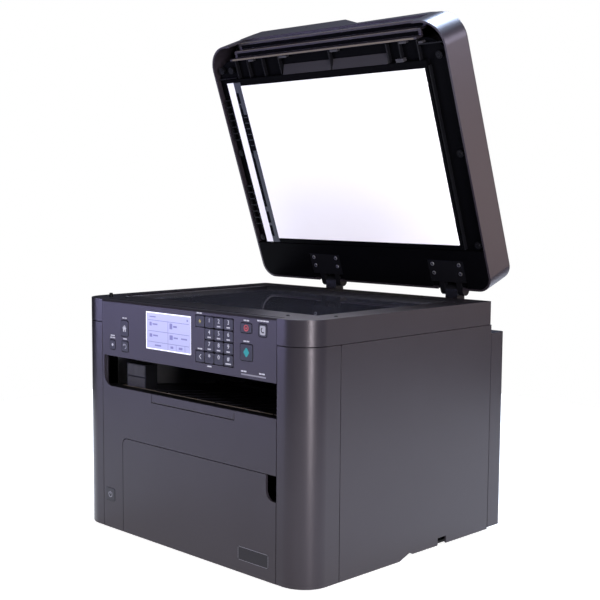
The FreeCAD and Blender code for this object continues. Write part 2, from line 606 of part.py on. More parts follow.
def scannerFrame():
    """Top housing of the reader: band, rim and the two glass windows."""
    inner, back = f"{HALF} - wall", "sideDepth - wall"
    under = "bodyHeight - rimThick"
    frame = Moulding("scanner_frame")
    frame.pad("XY", [rect(f"-{HALF}", HALF, "0", "sideDepth")], f"bandZ + {GAP}", "bodyHeight")
    frame.pocket("XY", [rect(f"-({inner})", inner, "wall", back)], f"bandZ + {GAP} - 1", under)
    frame.round("cornerRadius - wall", "Z", (f"-({inner})", "wall"), (inner, "wall"))
    frame.round("cornerRadius", "Z", (f"-{HALF}", "0"), (HALF, "0"))
    frame.round("backCornerRadius", "Z", (f"-{HALF}", "sideDepth"), (HALF, "sideDepth"))
    frame.pocket("XZ", [rect("-leftSeamX", "rightSeamX", "bandZ - 1", "bodyHeight + 1")],
                 "-1", "panelBack")
    frame.pad("XZ", [rect("-leftSeamX - wall", "rightSeamX + wall", f"bandZ + {GAP}", under)],
              "panelBack", "panelBack + wall")
    for low, high in (("-leftSeamX - wall", "-leftSeamX"), ("rightSeamX", "rightSeamX + wall")):
        frame.pad("YZ", [rect("wall", "panelBack", f"bandZ + {GAP}", under)], low, high)
    frame.pocket("YZ", [("panelPivotY", "panelPivotZ", "panelPin + runFit")],
                 "-leftSeamX - pinLength - 1", "rightSeamX + pinLength + 1")
    for low, high in ((f"-({inner})", f"-({inner}) + lapThick"),
                      (f"{inner} - lapThick", inner)):
        frame.pad("YZ", [rect("cornerRadius + wall", f"{back} - lapThick",
                              "bandZ - skirtDrop", under)], low, high)
    frame.pocket("XY", [rect("windowLeft", "windowRight", "windowFront", "windowBack"),
                        rect("feedGlassLeft", "feedGlassRight", "feedGlassFront",
                             "feedGlassBack")], f"{under} - 1", "bodyHeight + 1")
    node("scanner_frame", frame)


def scannerBase():
    """Lower tray of the reader, the ceiling of the output slot, with the carriage rail."""
    half = f"{HALF} - wall - lapThick - trayClear"
    front, back = "panelBack + wall + trayClear", "sideDepth - wall - trayClear"
    under = "bodyHeight - rimThick"
    tray = Moulding("scanner_base")
    tray.pad("XY", [rect(f"-({half})", half, front, back)], "trayLow", under)
    tray.round("cornerRadius / 2", "Z", (f"-({half})", front), (half, front))
    tray.pocket("XY", [rect(f"-({half}) + wall", f"{half} - wall", f"{front} + wall",
                            f"{back} - wall")], "trayLow + trayFloor", f"{under} + 1")
    tray.pad("XY", [rect(f"-({half}) + wall", f"{half} - wall", "railY - railWide / 2",
                         "railY + railWide / 2")], "trayLow + trayFloor", "railTop")
    node("scanner_base", tray)


def scannerGlass():
    """The long platen pane and the narrow pane that reads fed sheets."""
    under = "bodyHeight - rimThick"
    level = (f"{under} - glassThick", under)
    platen = box("platen_pane", ("windowLeft - glassMargin", "windowRight + glassMargin"),
                 ("windowFront - glassMargin", "windowBack + glassMargin"), level)
    feed = box("feed_pane", ("feedGlassLeft - glassMargin", "feedGlassRight + glassMargin"),
               ("feedGlassFront - glassMargin", "feedGlassBack + glassMargin"), level)
    node("scanner_glass", joined("scanner_glass", [platen, feed]))


def scanCarriage():
    """Sensor bar that travels to the right under the glass."""
    right = "carriageLeft + carriageWide"
    top = "carriageLow + carriageTall"
    bar = box("carriage_bar", ("carriageLeft", right), ("carriageFront", "carriageBack"),
              ("carriageLow", top))
    middle = "carriageLeft + carriageWide / 2"
    lens = box("carriage_lens", (f"{middle} - ribThick", f"{middle} + ribThick"),
               ("carriageFront + wall", "carriageBack - wall"), (top, f"{top} + 1"))
    node("scan_carriage", joined("scan_carriage", [bar, lens]))


# ---- inside of the printing unit ----------------------------------------------------------------

def sideFrames():
    """Two steel side plates that carry the shafts."""
    holes = []
    for name, y, z, shaft in (("pick", "pickY", "pickZ", "pickShaft"),
                              ("exit", "exitY", "exitZ", "exitShaft"),
                              ("cover", "tonerPivotY", "tonerPivotZ", "pinRadius")):
        holes.append(rod(f"hole_{name}", "X", ("-bodyWidth", y, z), f"{shaft} + runFit",
                         "2 * bodyWidth"))
    plates = []
    for low in ("-frameX - frameThick", "frameX"):
        plates.append(box("frame_plate", (low, f"{low} + frameThick"),
                          ("frameFront", "frameBack"), ("panLow + panThick", "trayLow")))
    node("side_frames", cutAway("side_frames", joined("frame_plates", plates), holes))


def roller(name, y, z, shaft, sleeve, sleeves):
    """Shaft through both side plates, with rubber sleeves given by middle and half length."""
    over = "frameX + frameThick + shaftOver"
    pieces = [rod(name + "_shaft", "X", (f"-({over})", y, z), shaft, f"2 * ({over})")]
    for middle, half in sleeves:
        pieces.append(rod(name + "_sleeve", "X", (f"{middle} - {half}", y, z), sleeve,
                          f"2 * {half}"))
    node(name, joined(name, pieces))


def rollers():
    roller("pickup_roller", "pickY", "pickZ", "pickShaft", "pickRoller",
           [("paperCentre", "pickHalf")])
    roller("exit_roller", "exitY", "exitZ", "exitShaft", "exitRoller",
           [(f"{step} * exitPitch", "exitWide / 2") for step in (-1.5, -0.5, 0.5, 1.5)])


def paperGuides():
    """Width guides on the paper floor; each is an upright with a foot that slides."""
    for name, side in (("paper_guide_left", -1), ("paper_guide_right", 1)):
        def place(inner, outer):
            ends = (f"paperCentre + {side} * ({inner})", f"paperCentre + {side} * ({outer})")
            return ends[::side]
        low = "trayZ + guideGap"
        foot = box(name + "_foot", place("paperHalf - guideFoot", "paperHalf"),
                   ("guideFront", "guideFront + guideLong"), (low, f"{low} + 2"))
        wall = box(name + "_wall", place("paperHalf", "paperHalf + guideThick"),
                   ("guideFront", "guideFront + guideLong"), (low, f"{low} + guideTall"))
        node(name, joined(name, [foot, wall]))


def tonerCartridge():
    """Toner hopper in front and the drum behind it, held between the side plates."""
    hopper = box("toner_hopper", ("-tonerHalf", "tonerHalf"), ("tonerFront", "tonerBack"),
                 ("tonerLow", "tonerHigh"))
    neck = box("toner_neck", ("-tonerHalf", "tonerHalf"), ("tonerBack", "drumY"),
               ("tonerLow", "drumZ"))
    drum = rod("toner_drum", "X", ("-frameX", "drumY", "drumZ"), "drumRadius", "2 * frameX")
    grip = box("toner_grip", ("-exitPitch", "exitPitch"), ("tonerFront - wall", "tonerFront"),
               ("tonerLow + lapWidth", "tonerHigh - lapWidth"))
    node("toner_cartridge", joined("toner_cartridge", [hopper, neck, drum, grip]))


def laserUnit():
    """Sealed optics box with its mirror motor hump, on two end flanges."""
    case = box("laser_case", ("-unitHalf", "unitHalf"), ("laserFront", "unitBack"),
               ("laserLow", "laserHigh"))
    hump = rod("laser_motor", "Z", ("0", "(laserFront + unitBack) / 2", "laserHigh"),
               "motorRadius", "lapWidth")
    flange = box("laser_flange", ("-frameX", "frameX"), ("laserFront + lapWidth",
                 "unitBack - lapWidth"), ("laserLow", "laserLow + panThick"))
    node("laser_unit", joined("laser_unit", [case, hump, flange]))


def fuserUnit():
    """Heater frame with its pressure roller, on two end flanges."""
    case = box("fuser_case", ("-unitHalf", "unitHalf"), ("fuserFront", "unitBack"),
               ("fuserLow", "fuserHigh"))
    flange = box("fuser_flange", ("-frameX", "frameX"), ("fuserFront + lapWidth",
                 "unitBack - lapWidth"), ("fuserLow", "fuserLow + panThick"))
    press = rod("fuser_roller", "X", ("-unitHalf + wall", "fuserFront", "(fuserLow + fuserHigh) / 2"),
                "fuserRoller", "2 * (unitHalf - wall)")
    node("fuser_unit", joined("fuser_unit", [case, flange, press]))


def mainBoard():
    """Circuit board on standoffs outside the left side plate."""
    face = "-frameX - frameThick - boardStand"
    pieces = [box("board_sheet", (f"{face} - boardThick", face), ("boardFront", "boardBack"),
                  ("boardLow", "boardHigh"))]
    for y in ("boardFront + lapWidth", "boardBack - lapWidth"):
        for z in ("boardLow + lapWidth", "boardHigh - lapWidth"):
            pieces.append(rod("board_post", "X", (face, y, z), "screwHead", "boardStand"))
    middle = "(boardFront + boardBack) / 2"
    pieces.append(box("board_chip", (f"{face} - boardThick - wall", f"{face} - boardThick"),
                      (f"{middle} - motorRadius", f"{middle} + motorRadius"),
                      ("boardLow + motorRadius", "boardLow + 3 * motorRadius")))
    node("main_board", joined("main_board", pieces))


def driveMotor():
    """Main motor and its first gears outside the right side plate."""
    face = "frameX + frameThick"
    can = rod("motor_can", "X", (face, "motorY", "motorZ"), "motorRadius", "motorLong")
    gear = rod("motor_gear", "X", (face, "motorY - motorRadius * 2", "motorZ"), "motorRadius",
               "gearWide")
    node("drive_motor", joined("drive_motor", [can, gear]))


def rearSockets():
    """Mains inlet with its well and pins, and two data sockets, flush with the back wall."""
    back = "sideDepth + rearDepth"
    shell = box("inlet_shell", ("inletX - inletWide / 2", "inletX + inletWide / 2"),
                (f"{back} - inletDeep", back),
                ("inletZ - inletTall / 2", "inletZ + inletTall / 2"))
    well = box("inlet_well", ("inletX - inletWide / 2 + wall", "inletX + inletWide / 2 - wall"),
               (f"{back} - inletDeep + wall", f"{back} + 1"),
               ("inletZ - inletTall / 2 + wall", "inletZ + inletTall / 2 - wall"))
    pieces = [cutAway("inlet_cup", shell, [well])]
    for step in (-1, 0, 1):
        x = f"inletX + {step} * lapWidth"
        pieces.append(box("inlet_pin", (f"{x} - 1", f"{x} + 1"),
                          (f"{back} - inletDeep + wall", f"{back} - lapWidth"),
                          ("inletZ - wall", "inletZ + wall")))
    for x in ("portX", "portX - portPitch"):
        case = box("port_case", (f"{x} - portWide / 2", f"{x} + portWide / 2"),
                   (f"{back} - inletDeep", back), ("inletZ - portTall / 2", "inletZ + portTall / 2"))
        hole = box("port_hole", (f"{x} - portWide / 2 + 1", f"{x} + portWide / 2 - 1"),
                   (f"{back} - inletDeep + wall", f"{back} + 1"),
                   ("inletZ - portTall / 2 + 1", "inletZ + portTall / 2 - 1"))
        pieces.append(cutAway("port_cup", case, [hole]))
    node("rear_sockets", joined("rear_sockets", pieces))


def tonerCover():
    """Floor of the output tray; its front edge lifts to reach the cartridge."""
    outline = [("coverFront", "slotBottom"), ("coverMidY", "coverMidZ"),
               ("coverBackY", "coverBackZ"), ("coverBackY", "coverBackZ - coverThick"),
               ("coverMidY", "coverMidZ - coverThick"), ("coverFront", "slotBottom - coverThick")]
    cover = Moulding("toner_cover")
    cover.pad("YZ", [outline], "-coverHalf", "coverHalf")
    cover.pad("YZ", [("tonerPivotY", "tonerPivotZ", "barrelRadius + 1")], "-coverHalf", "coverHalf")
    cover.pad("YZ", [("tonerPivotY", "tonerPivotZ", "pinRadius")], "-frameX - frameThick",
              "frameX + frameThick")
    cover.pad("XZ", [rect("-gripLeft", "-gripLeft + gripBlockWide", "slotBottom - coverThick",
                          "slotBottom + gripBlockTall")],
              "coverFront", "coverFront + gripBlockDeep")
    node("toner_cover", cover)


# ---- lid ------------------------------------------------------------------------------------------

def hingeSockets():
    """Posts that rise from the rear housing and carry the lid's hinge pins."""
    posts = []
    holes = []
    for x in ("hingeLeftX", "hingeRightX"):
        posts.append(box("hinge_post", (f"{x} - knuckleHalf", f"{x} + knuckleHalf"),
                         ("postFront", "postBack"), ("rearTop", "hingeZ")))
        posts.append(rod("hinge_eye", "X", (f"{x} - knuckleHalf", "hingeY", "hingeZ"),
                         "knuckleRadius", "2 * knuckleHalf"))
        holes.append(rod("hinge_bore", "X", (f"{x} - knuckleHalf - 1", "hingeY", "hingeZ"),
                         "hingePin + runFit", "2 * knuckleHalf + 2"))
    node("hinge_sockets", cutAway("hinge_sockets", joined("hinge_posts", posts), holes))


def lidHinges():
    """Hinge arms on the lid: two knuckles and a pin each, and a screwed bracket plate."""
    ceiling = "lidLow + bracketThick + bracketSink"
    pieces = []
    for x in ("hingeLeftX", "hingeRightX"):
        near = "knuckleHalf + knuckleGap"
        for low, high in ((f"{x} - armHalf", f"{x} - ({near})"), (f"{x} + {near}", f"{x} + armHalf")):
            pieces.append(rod("arm_knuckle", "X", (low, "hingeY", "hingeZ"), "knuckleRadius",
                              f"({high}) - ({low})"))
            pieces.append(box("arm_web", (low, high), ("bracketBack - lapWidth", "hingeY"),
                              ("hingeZ - knuckleRadius", "hingeZ")))
        pieces.append(rod("arm_pin", "X", (f"{x} - armHalf", "hingeY", "hingeZ"), "hingePin",
                          "2 * armHalf"))
        pieces.append(box("arm_plate", (f"{x} - bracketHalf", f"{x} + bracketHalf"),
                          ("bracketFront", "bracketBack"), (f"{ceiling} - bracketThick", ceiling)))
    node("lid_hinges", joined("lid_hinges", pieces), lid=True)


def gripSteps():
    """Thin stepped wall that leads from the lip of the lid back and down to its underside."""
    count = SIZES["gripCount"]
    run = f"(gripInner - 2 * lidWall) / {count - 1}"
    rise = f"(lidLip - lidLow) / {count}"
    outer, inner = [("lidWall", "lidTop - lidRoof")], [("2 * lidWall", "lidTop - lidRoof")]
    for step in range(count):
        front = f"lidWall + {step} * {run}"
        low = f"lidLip - {step + 1} * {rise}"
        outer.append((front, low))
        if step < count - 1:
            outer.append((f"{front} + {run}", low))
            inner += [(f"{front} + lidWall", f"{low} + lidWall"),
                      (f"{front} + {run} + lidWall", f"{low} + lidWall")]
        else:
            inner.append((f"{front} + lidWall", low))
    return outer + inner[::-1]


def lidShell():
    """Outer shell of the lid with its stepped front grip and the fences of the feeder."""
    inner = f"{HALF} - lidWall"
    shell = Moulding("lid_shell")
    shell.pad("XY", [rect(f"-{HALF}", HALF, "0", "lidBack")], "lidLow", "lidTop")
    shell.pocket("XY", [rect(f"-({inner})", inner, "lidWall", "lidBack - lidWall")],
                 "lidLow - 1", "lidTop - lidRoof")
    shell.round("cornerRadius - lidWall", "Z", (f"-({inner})", "lidWall"), (inner, "lidWall"))
    shell.round("lidBackRadius - lidWall", "Z", (f"-({inner})", "lidBack - lidWall"),
                (inner, "lidBack - lidWall"))
    shell.round("cornerRadius", "Z", (f"-{HALF}", "0"), (HALF, "0"))
    shell.round("lidBackRadius", "Z", (f"-{HALF}", "lidBack"), (HALF, "lidBack"))
    shell.roundLevel("lidTopRound", "lidTop")
    shell.pocket("XZ", [rect("-gripHalf", "gripHalf", "lidLow - 1", "lidLip")],
                 "-1", "lidWall + 1")
    shell.pad("YZ", [gripSteps()], "-gripHalf - lidWall", "gripHalf + lidWall")
    fence = [("humpLeft", "fenceRoot"), ("humpLeft", "humpTop - feederRound"),
             ("humpFlatLeft", "humpTop"), ("humpFlatRight", "humpTop"),
             ("humpFootX", "humpFootZ"), ("humpRimX", "humpRimZ"), ("humpEndX", "lidTop"),
             ("humpEndX", "fenceRoot")]
    shell.pad("XZ", [fence], "fenceFront", "fenceFront + fenceThick")
    shell.pad("XZ", [fence], "fenceBackY", "fenceBackY + fenceThick")
    inside = "fenceFront + fenceThick"
    shell.pad("XY", [rect("feederBaseLeft", "feederRight", inside, "fenceBackY")],
              "fenceRoot", "feederBaseTop")
    shell.pocket("XY", [rect("feederBaseLeft + lidWall", "feederRight - lidWall",
                             f"{inside} + lidWall", "fenceBackY - lidWall")],
                 "lidTop - lidRoof - 1", "feederBaseTop - lidWall")
    shell.pocket("YZ", [rect("mouthFront", "mouthBack", "exitMouthLow", "exitMouthHigh")],
                 "feederRight - lidWall - 1", "feederRight + 1")
    shell.pocket("XZ", [("feederPivotX", "feederPivotZ", "pinRadius + runFit"),
                        ("docPivotX", "docLow + docThick / 2", "pinRadius + runFit")],
                 "-1", "fenceBackY + fenceThick + 1")
    shell.pocket("XZ", [rect(f"{x} - notchHalf", f"{x} + notchHalf", "lidLow - 1",
                             "hingeZ + knuckleRadius + 1") for x in ("hingeLeftX", "hingeRightX")],
                 "lidBack - lidWall - 1", "lidBack + 1")
    node("lid_shell", shell, lid=True)


def lidBase():
    """Underside of the lid: ribbed tray, raised bed of the white sheet and rear plate."""
    half = f"{HALF} - lidWall - baseClear"
    back = "lidBack - lidWall - baseClear"
    base = Moulding("lid_base")
    base.pad("XY", [rect(f"-({half})", half, "baseFront", back)], "baseUnder", "baseTop")
    base.pad("XY", [rect(f"-({half})", half, "rearPlateFront", back)], "lidLow", "baseUnder")
    base.round("cornerRadius - lidWall", "Z", (f"-({half})", "baseFront"), (half, "baseFront"))
    base.round("lidBackRadius - lidWall", "Z", (f"-({half})", back), (half, back))
    base.pad("XY", [rect("feedGlassLeft", "padRight", "padFront", "padBack")],
             "lidLow", "baseUnder")
    base.pocket("XY", [rect(f"{x} - bracketHalf", f"{x} + bracketHalf", "bracketFront",
                            f"{back} + 1") for x in ("hingeLeftX", "hingeRightX")],
                "lidLow - 1", "lidLow + bracketThick + bracketSink")
    base.pocket("XY", [rect(f"{x} - notchHalf", f"{x} + notchHalf", "bracketBack - lapWidth",
                            f"{back} + 1") for x in ("hingeLeftX", "hingeRightX")],
                "lidLow - 1", "baseTop + 1")
    node("lid_base", base, lid=True)


def platenSheet():
    node("platen_sheet", box("platen_sheet_body", ("sheetLeft", "sheetRight"),
                             ("sheetFront", "sheetBack"), ("lidLow - sheetThick", "lidLow")),
         lid=True)


def sheetGuide():
    """White backing strip and the slotted bar beside it, over the narrow glass."""
    strip = box("guide_strip", ("stripLeft", "stripRight"), ("stripFront", "stripBack"),
                ("lidLow - barThick", "lidLow"))
    bar = box("guide_bar", ("stripRight", "barRight"), ("stripFront", "stripBack"),
              ("lidLow - barThick - barStep", "lidLow"))
    slots = [box("guide_slot", ("stripRight + 1", "stripRight + 1 + slotWide"),
                 (f"stripFront + {index + 0.5} * slotPitch",
                  f"stripFront + {index + 0.5} * slotPitch + slotLong"),
                 ("lidLow - 2 * barThick", "lidLow + 1")) for index in range(3)]
    node("sheet_guide", cutAway("sheet_guide", joined("guide_parts", [strip, bar]), slots),
         lid=True)


def feederCover():
    """Hood of the document feeder; it swings up to the left to free a jam."""
    front, back = "fenceFront + fenceThick + feederGap", "fenceBackY - feederGap"
    low = "feederBaseTop + feederGap"
    hood = Moulding("feeder_cover")
    hood.pad("XZ", [rect("feederLeft", "feederRight", low, "humpTop")], front, back)
    hood.round("feederRound", "Y", ("feederLeft", "humpTop"))
    hood.pocket("XZ", [rect("feederLeft + feederWall", "feederRight - feederWall",
                            f"{low} - 1", "humpTop - feederWall")],
                f"{front} + feederWall", f"{back} - feederWall")
    hood.pocket("YZ", [rect("mouthFront", "mouthBack", "mouthLow", "mouthHigh")],
                "feederRight - feederWall - 1", "feederRight + 1")
    hood.pad("XZ", [("feederPivotX", "feederPivotZ", "barrelRadius")], front, back)
    hood.pad("XZ", [("feederPivotX", "feederPivotZ", "pinRadius")],
             "fenceFront + fenceThick / 2", "fenceBackY + fenceThick / 2")
    node("feeder_cover", hood, lid=True)


def documentTray():
    """Supply tray beside the hood, over the output area; lifts at its right edge."""
    tray = Moulding("document_tray")
    top = "docLow + docThick"
    tray.pad("XY", [rect("docLeft", "docRight", "docFront", "docBack")], "docLow", top)
    tray.round("cornerRadius / 2", "Z", ("docRight", "docFront"), ("docRight", "docBack"))
    tray.pocket("XY", [rect("(docLeft + docRight) / 2 - docSlotHalf",
                            "(docLeft + docRight) / 2 + docSlotHalf",
                            "docFront + cornerRadius / 2", "docBack - cornerRadius / 2")],
                "docLow - 1", f"{top} + 1")
    axle = ("docPivotX", "docLow + docThick / 2")
    tray.pad("XZ", [(*axle, "barrelRadius")], "fenceFront + fenceThick + feederGap",
             "fenceBackY - feederGap")
    tray.pad("XZ", [(*axle, "pinRadius")], "fenceFront + fenceThick / 2",
             "fenceBackY + fenceThick / 2")
    node("document_tray", tray, lid=True)


def documentGuides():
    """Two upright guides that close on the sheet together."""
    middle = "(docFront + docBack) / 2"
    low = "docLow + docThick + docGuideGap"
    left = "(docLeft + docRight) / 2 - docGuideLong / 2"
    for name, side in (("document_guide_front", -1), ("document_guide_rear", 1)):
        ends = (f"{middle} + {side} * docGuideHalf",
                f"{middle} + {side} * (docGuideHalf + docGuideThick)")[::side]
        foot = (f"{middle} + {side} * (docGuideHalf - lapWidth * 2)",
                f"{middle} + {side} * docGuideHalf")[::side]
        pieces = [box(name + "_wall", (left, f"{left} + docGuideLong"), ends,
                      (low, f"{low} + docGuideTall")),
                  box(name + "_foot", (left, f"{left} + docGuideLong"), foot,
                      (low, f"{low} + 1.5"))]
        node(name, joined(name, pieces), lid=True)


# ---- build ------------------------------------------------------------------------------------------

def build():
    fillSheet()
    cornerCover("corner_cover_left", -1, "leftSeamX")
    cornerCover("corner_cover_right", 1, "rightSeamX")
    sideCover("side_cover_left", -1)
    sideCover("side_cover_right", 1)
    frontCover()
    rearPanel()
    rearCover()
    basePan()
    feet()
    frontDoor()
    paperStopper()
    powerButton()
    operationPanel()
    screen()
    keys()
    scannerFrame()
    scannerBase()
    scannerGlass()
    scanCarriage()
    sideFrames()
    rollers()
    paperGuides()
    tonerCartridge()
    laserUnit()
    fuserUnit()
    mainBoard()
    driveMotor()
    rearSockets()
    tonerCover()
    hingeSockets()
    lidHinges()
    lidShell()
    lidBase()
    platenSheet()
    sheetGuide()
    feederCover()
    documentTray()
    documentGuides()
    doc.recompute()


def export():
    for item in doc.Objects:
        if "Invalid" in item.State or "Error" in item.State:
            raise RuntimeError(f"{item.Label} did not build: {item.State}")
    os.makedirs("parts", exist_ok=True)
    for item in nodes:
        shape = item.Shape
        if shape.isNull() or not shape.isValid() or not shape.Solids:
            raise RuntimeError(f"{item.Label} has no sound solid")
        shape.exportStep(f"parts/{item.Label}.step")
        print(item.Label, len(shape.Solids), "solid(s)", round(shape.Volume / 1000, 1), "cm3")


build()
export()
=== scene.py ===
import json
import math
import bmesh
import bpy
from mathutils import Matrix, Vector


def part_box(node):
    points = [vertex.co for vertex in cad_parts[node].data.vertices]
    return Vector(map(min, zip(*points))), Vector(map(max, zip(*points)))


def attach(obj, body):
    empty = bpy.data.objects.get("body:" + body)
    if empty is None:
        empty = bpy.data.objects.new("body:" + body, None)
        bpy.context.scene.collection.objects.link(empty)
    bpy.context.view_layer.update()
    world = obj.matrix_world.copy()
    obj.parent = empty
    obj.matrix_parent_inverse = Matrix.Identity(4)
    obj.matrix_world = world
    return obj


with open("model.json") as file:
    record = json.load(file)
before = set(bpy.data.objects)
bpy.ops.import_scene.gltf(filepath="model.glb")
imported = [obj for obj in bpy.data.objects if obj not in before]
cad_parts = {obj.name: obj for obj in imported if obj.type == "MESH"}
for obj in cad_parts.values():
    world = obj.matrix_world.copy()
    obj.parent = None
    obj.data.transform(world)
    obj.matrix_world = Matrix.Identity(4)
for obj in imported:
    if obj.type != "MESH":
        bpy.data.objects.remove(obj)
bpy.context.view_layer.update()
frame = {"nodes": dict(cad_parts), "record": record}
nodes = frame["nodes"]
print("frame loaded:", len(nodes), "nodes")

# Pieces are drawn in millimetres: x from the middle, y from the front face, z from the table,
# and those of the lid as they lie with the lid shut.
mm = 0.001
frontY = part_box("front_cover")[0][1]
lidHinge = next(j for j in frame["record"]["behaviour"]["joints"] if j["name"] == "lid_hinge")
hingeSpot = Matrix.Translation(lidHinge["pos_m"])
lidAngle = math.radians(lidHinge["range_deg"][1])
drawn = Matrix.Translation((0, frontY, 0)) @ Matrix.Scale(mm, 4)
drawnLid = hingeSpot @ Matrix.Rotation(-lidAngle, 4, "X") @ hingeSpot.inverted() @ drawn


def nodeBox(name):
    # the low and high corner of a node, as pieces are drawn
    front = Vector((0, frontY / mm, 0))
    return [Vector(corner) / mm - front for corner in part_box(name)]


view = {"spot": (0.99633, -1.05507, 0.4232), "turn": 0.8256, "dip": 0.1017, "lens": 69.21,
        "sensor": 36, "shiftX": 0.129, "shiftY": 0.0155}
camera = bpy.data.objects.new("camera", bpy.data.cameras.new("camera"))
camera.data.lens = view["lens"]
camera.data.sensor_width = view["sensor"]
camera.data.shift_x = view["shiftX"]
camera.data.shift_y = view["shiftY"]
camera.location = view["spot"]
camera.rotation_euler = (math.pi / 2 - view["dip"], 0, view["turn"])
bpy.context.collection.objects.link(camera)
bpy.context.scene.camera = camera
bpy.context.scene.view_settings.view_transform = "Standard"


class Wire:
    # one socket of a material; arithmetic on it adds Math nodes
    def __init__(self, finish, socket):
        self.finish = finish
        self.socket = socket

    def maths(self, operation, first, second):
        return self.finish.node("ShaderNodeMath", {"operation": operation}, {0: first, 1: second})

    def __add__(self, other):
        return self.maths("ADD", self, other)

    def __radd__(self, other):
        return self.maths("ADD", other, self)

    def __sub__(self, other):
        return self.maths("SUBTRACT", self, other)

    def __rsub__(self, other):
        return self.maths("SUBTRACT", other, self)

    def __mul__(self, other):
        return self.maths("MULTIPLY", self, other)

    def __rmul__(self, other):
        return self.maths("MULTIPLY", other, self)

    def __gt__(self, other):
        return self.maths("GREATER_THAN", self, other)


class Finish:
    # a procedural material, or the sky, in the making
    def __init__(self, name, owner=None):
        self.material = owner or bpy.data.materials.new(name)
        self.material.use_nodes = True
        self.tree = self.material.node_tree
        self.shader = self.tree.nodes.get("Principled BSDF") or self.tree.nodes["Background"]

    def node(self, kind, settings=None, sockets=None, out=0):
        made = self.tree.nodes.new(kind)
        for key, value in (settings or {}).items():
            setattr(made, key, value)
        for key, value in (sockets or {}).items():
            self.feed(made.inputs[key], value)
        return Wire(self, made.outputs[out])

    def feed(self, socket, value):
        if isinstance(value, Wire):
            self.tree.links.new(value.socket, socket)
        elif socket.type == "RGBA" and len(value) == 3:
            socket.default_value = (*value, 1)
        else:
            socket.default_value = value

    def surface(self, **sockets):
        for key, value in sockets.items():
            name = "".join(" " + c if c.isupper() else c for c in key).title()
            name = name.replace("Ior", "IOR")
            self.feed(self.shader.inputs[name], value)
        return self.material

    def spot(self):
        return self.node("ShaderNodeTexCoord", out="Object")

    def noise(self, scale, detail=2, rough=0.5):
        return self.node("ShaderNodeTexNoise", {}, {"Vector": self.spot(), "Scale": scale,
                         "Detail": detail, "Roughness": rough})

    def blend(self, factor, first, second):
        mix = self.tree.nodes.new("ShaderNodeMix")
        mix.data_type = "RGBA"
        self.feed(mix.inputs[0], factor)
        self.feed(mix.inputs[6], first)
        self.feed(mix.inputs[7], second)
        return Wire(self, mix.outputs[2])

    def bump(self, height, strength, distance=0.0002):
        return self.node("ShaderNodeBump", {}, {"Height": height, "Strength": strength,
                         "Distance": distance})


# Moulded plastics: two shades that the grain mixes, gloss, and the size and depth of the grain.
plastics = {
    "caseCharcoal": {"dark": (0.011, 0.0095, 0.0125), "light": (0.017, 0.0150, 0.0190),
                     "rough": 0.31, "grain": 2600, "depth": 0.16, "shine": 0.27,
                     "tint": (1.0, 0.93, 0.97)},
    "lidCharcoal": {"dark": (0.012, 0.0095, 0.013), "light": (0.019, 0.0155, 0.020),
                    "rough": 0.33, "grain": 2600, "depth": 0.12, "shine": 0.55,
                    "tint": (1.0, 0.92, 1.0)},
    "panelCharcoal": {"dark": (0.012, 0.0105, 0.014), "light": (0.016, 0.014, 0.018),
                      "rough": 0.38, "grain": 3400, "depth": 0.07, "shine": 0.28,
                      "tint": (1.0, 0.93, 0.97)},
    "keyCharcoal": {"dark": (0.007, 0.0065, 0.009), "light": (0.010, 0.009, 0.012),
                    "rough": 0.38, "grain": 3400, "depth": 0.05, "shine": 0.26},
    "innerBlack": {"dark": (0.0015, 0.0015, 0.002), "light": (0.003, 0.003, 0.004),
                   "rough": 0.5, "grain": 1800, "depth": 0.05, "shine": 0.1},
    # a darker, duller copy of the inner black: painted shade on the lid's underside, also used for its
    # dark strips
    "lidShadeBlack": {"dark": (0.0006, 0.0006, 0.0009), "light": (0.0016, 0.0016, 0.0022),
                 "rough": 0.45, "grain": 1800, "depth": 0.1, "shine": 0.02},
    "hingeBlack": {"dark": (0.002, 0.002, 0.003), "light": (0.005, 0.005, 0.006),
                   "rough": 0.34, "grain": 1500, "depth": 0.06, "shine": 0.12},
    "rimBlack": {"dark": (0.004, 0.004, 0.006), "light": (0.008, 0.007, 0.010),
                 "rough": 0.32, "grain": 2600, "depth": 0.06, "shine": 0.2},
    "guideGrey": {"dark": (0.10, 0.10, 0.12), "light": (0.13, 0.13, 0.15),
                  "rough": 0.5, "grain": 2000, "depth": 0.15, "shine": 0.5},
    "slate": {"dark": (0.011, 0.013, 0.022), "light": (0.017, 0.019, 0.030),
              "rough": 0.42, "grain": 2200, "depth": 0.1, "shine": 0.3},
    "handleBrown": {"dark": (0.010, 0.009, 0.0085), "light": (0.018, 0.016, 0.015),
                    "rough": 0.45, "grain": 2400, "depth": 0.12, "shine": 0.4},
    "tabGrey": {"dark": (0.016, 0.015, 0.018), "light": (0.028, 0.026, 0.030),
                "rough": 0.42, "grain": 2400, "depth": 0.1, "shine": 0.35},
    "leverBlue": {"dark": (0.03, 0.10, 0.28), "light": (0.04, 0.14, 0.36),
                  "rough": 0.4, "grain": 2200, "depth": 0.1, "shine": 0.5},
}


moulding = {"cloud": 14, "cloudShare": 0.7, "grainShare": 0.3, "glossSpread": 0.1}


def plastic(name):
    mix = plastics[name]
    finish = Finish(name)
    cloud = finish.noise(moulding["cloud"], 4)
    grain = finish.noise(mix["grain"], 2, 0.6)
    colour = finish.blend(cloud * moulding["cloudShare"] + grain * moulding["grainShare"],
                          mix["dark"], mix["light"])
    spread = moulding["glossSpread"]
    return finish.surface(baseColor=colour, roughness=mix["rough"] - spread / 2 + spread * grain,
                          specularIorLevel=mix["shine"], specularTint=mix.get("tint", (1, 1, 1)),
                          normal=finish.bump(grain, mix["depth"]))


rubberLook = {"dark": (0.016, 0.016, 0.017), "light": (0.035, 0.034, 0.034), "cells": 1500.0,
              "rough": 0.78, "depth": 0.5}


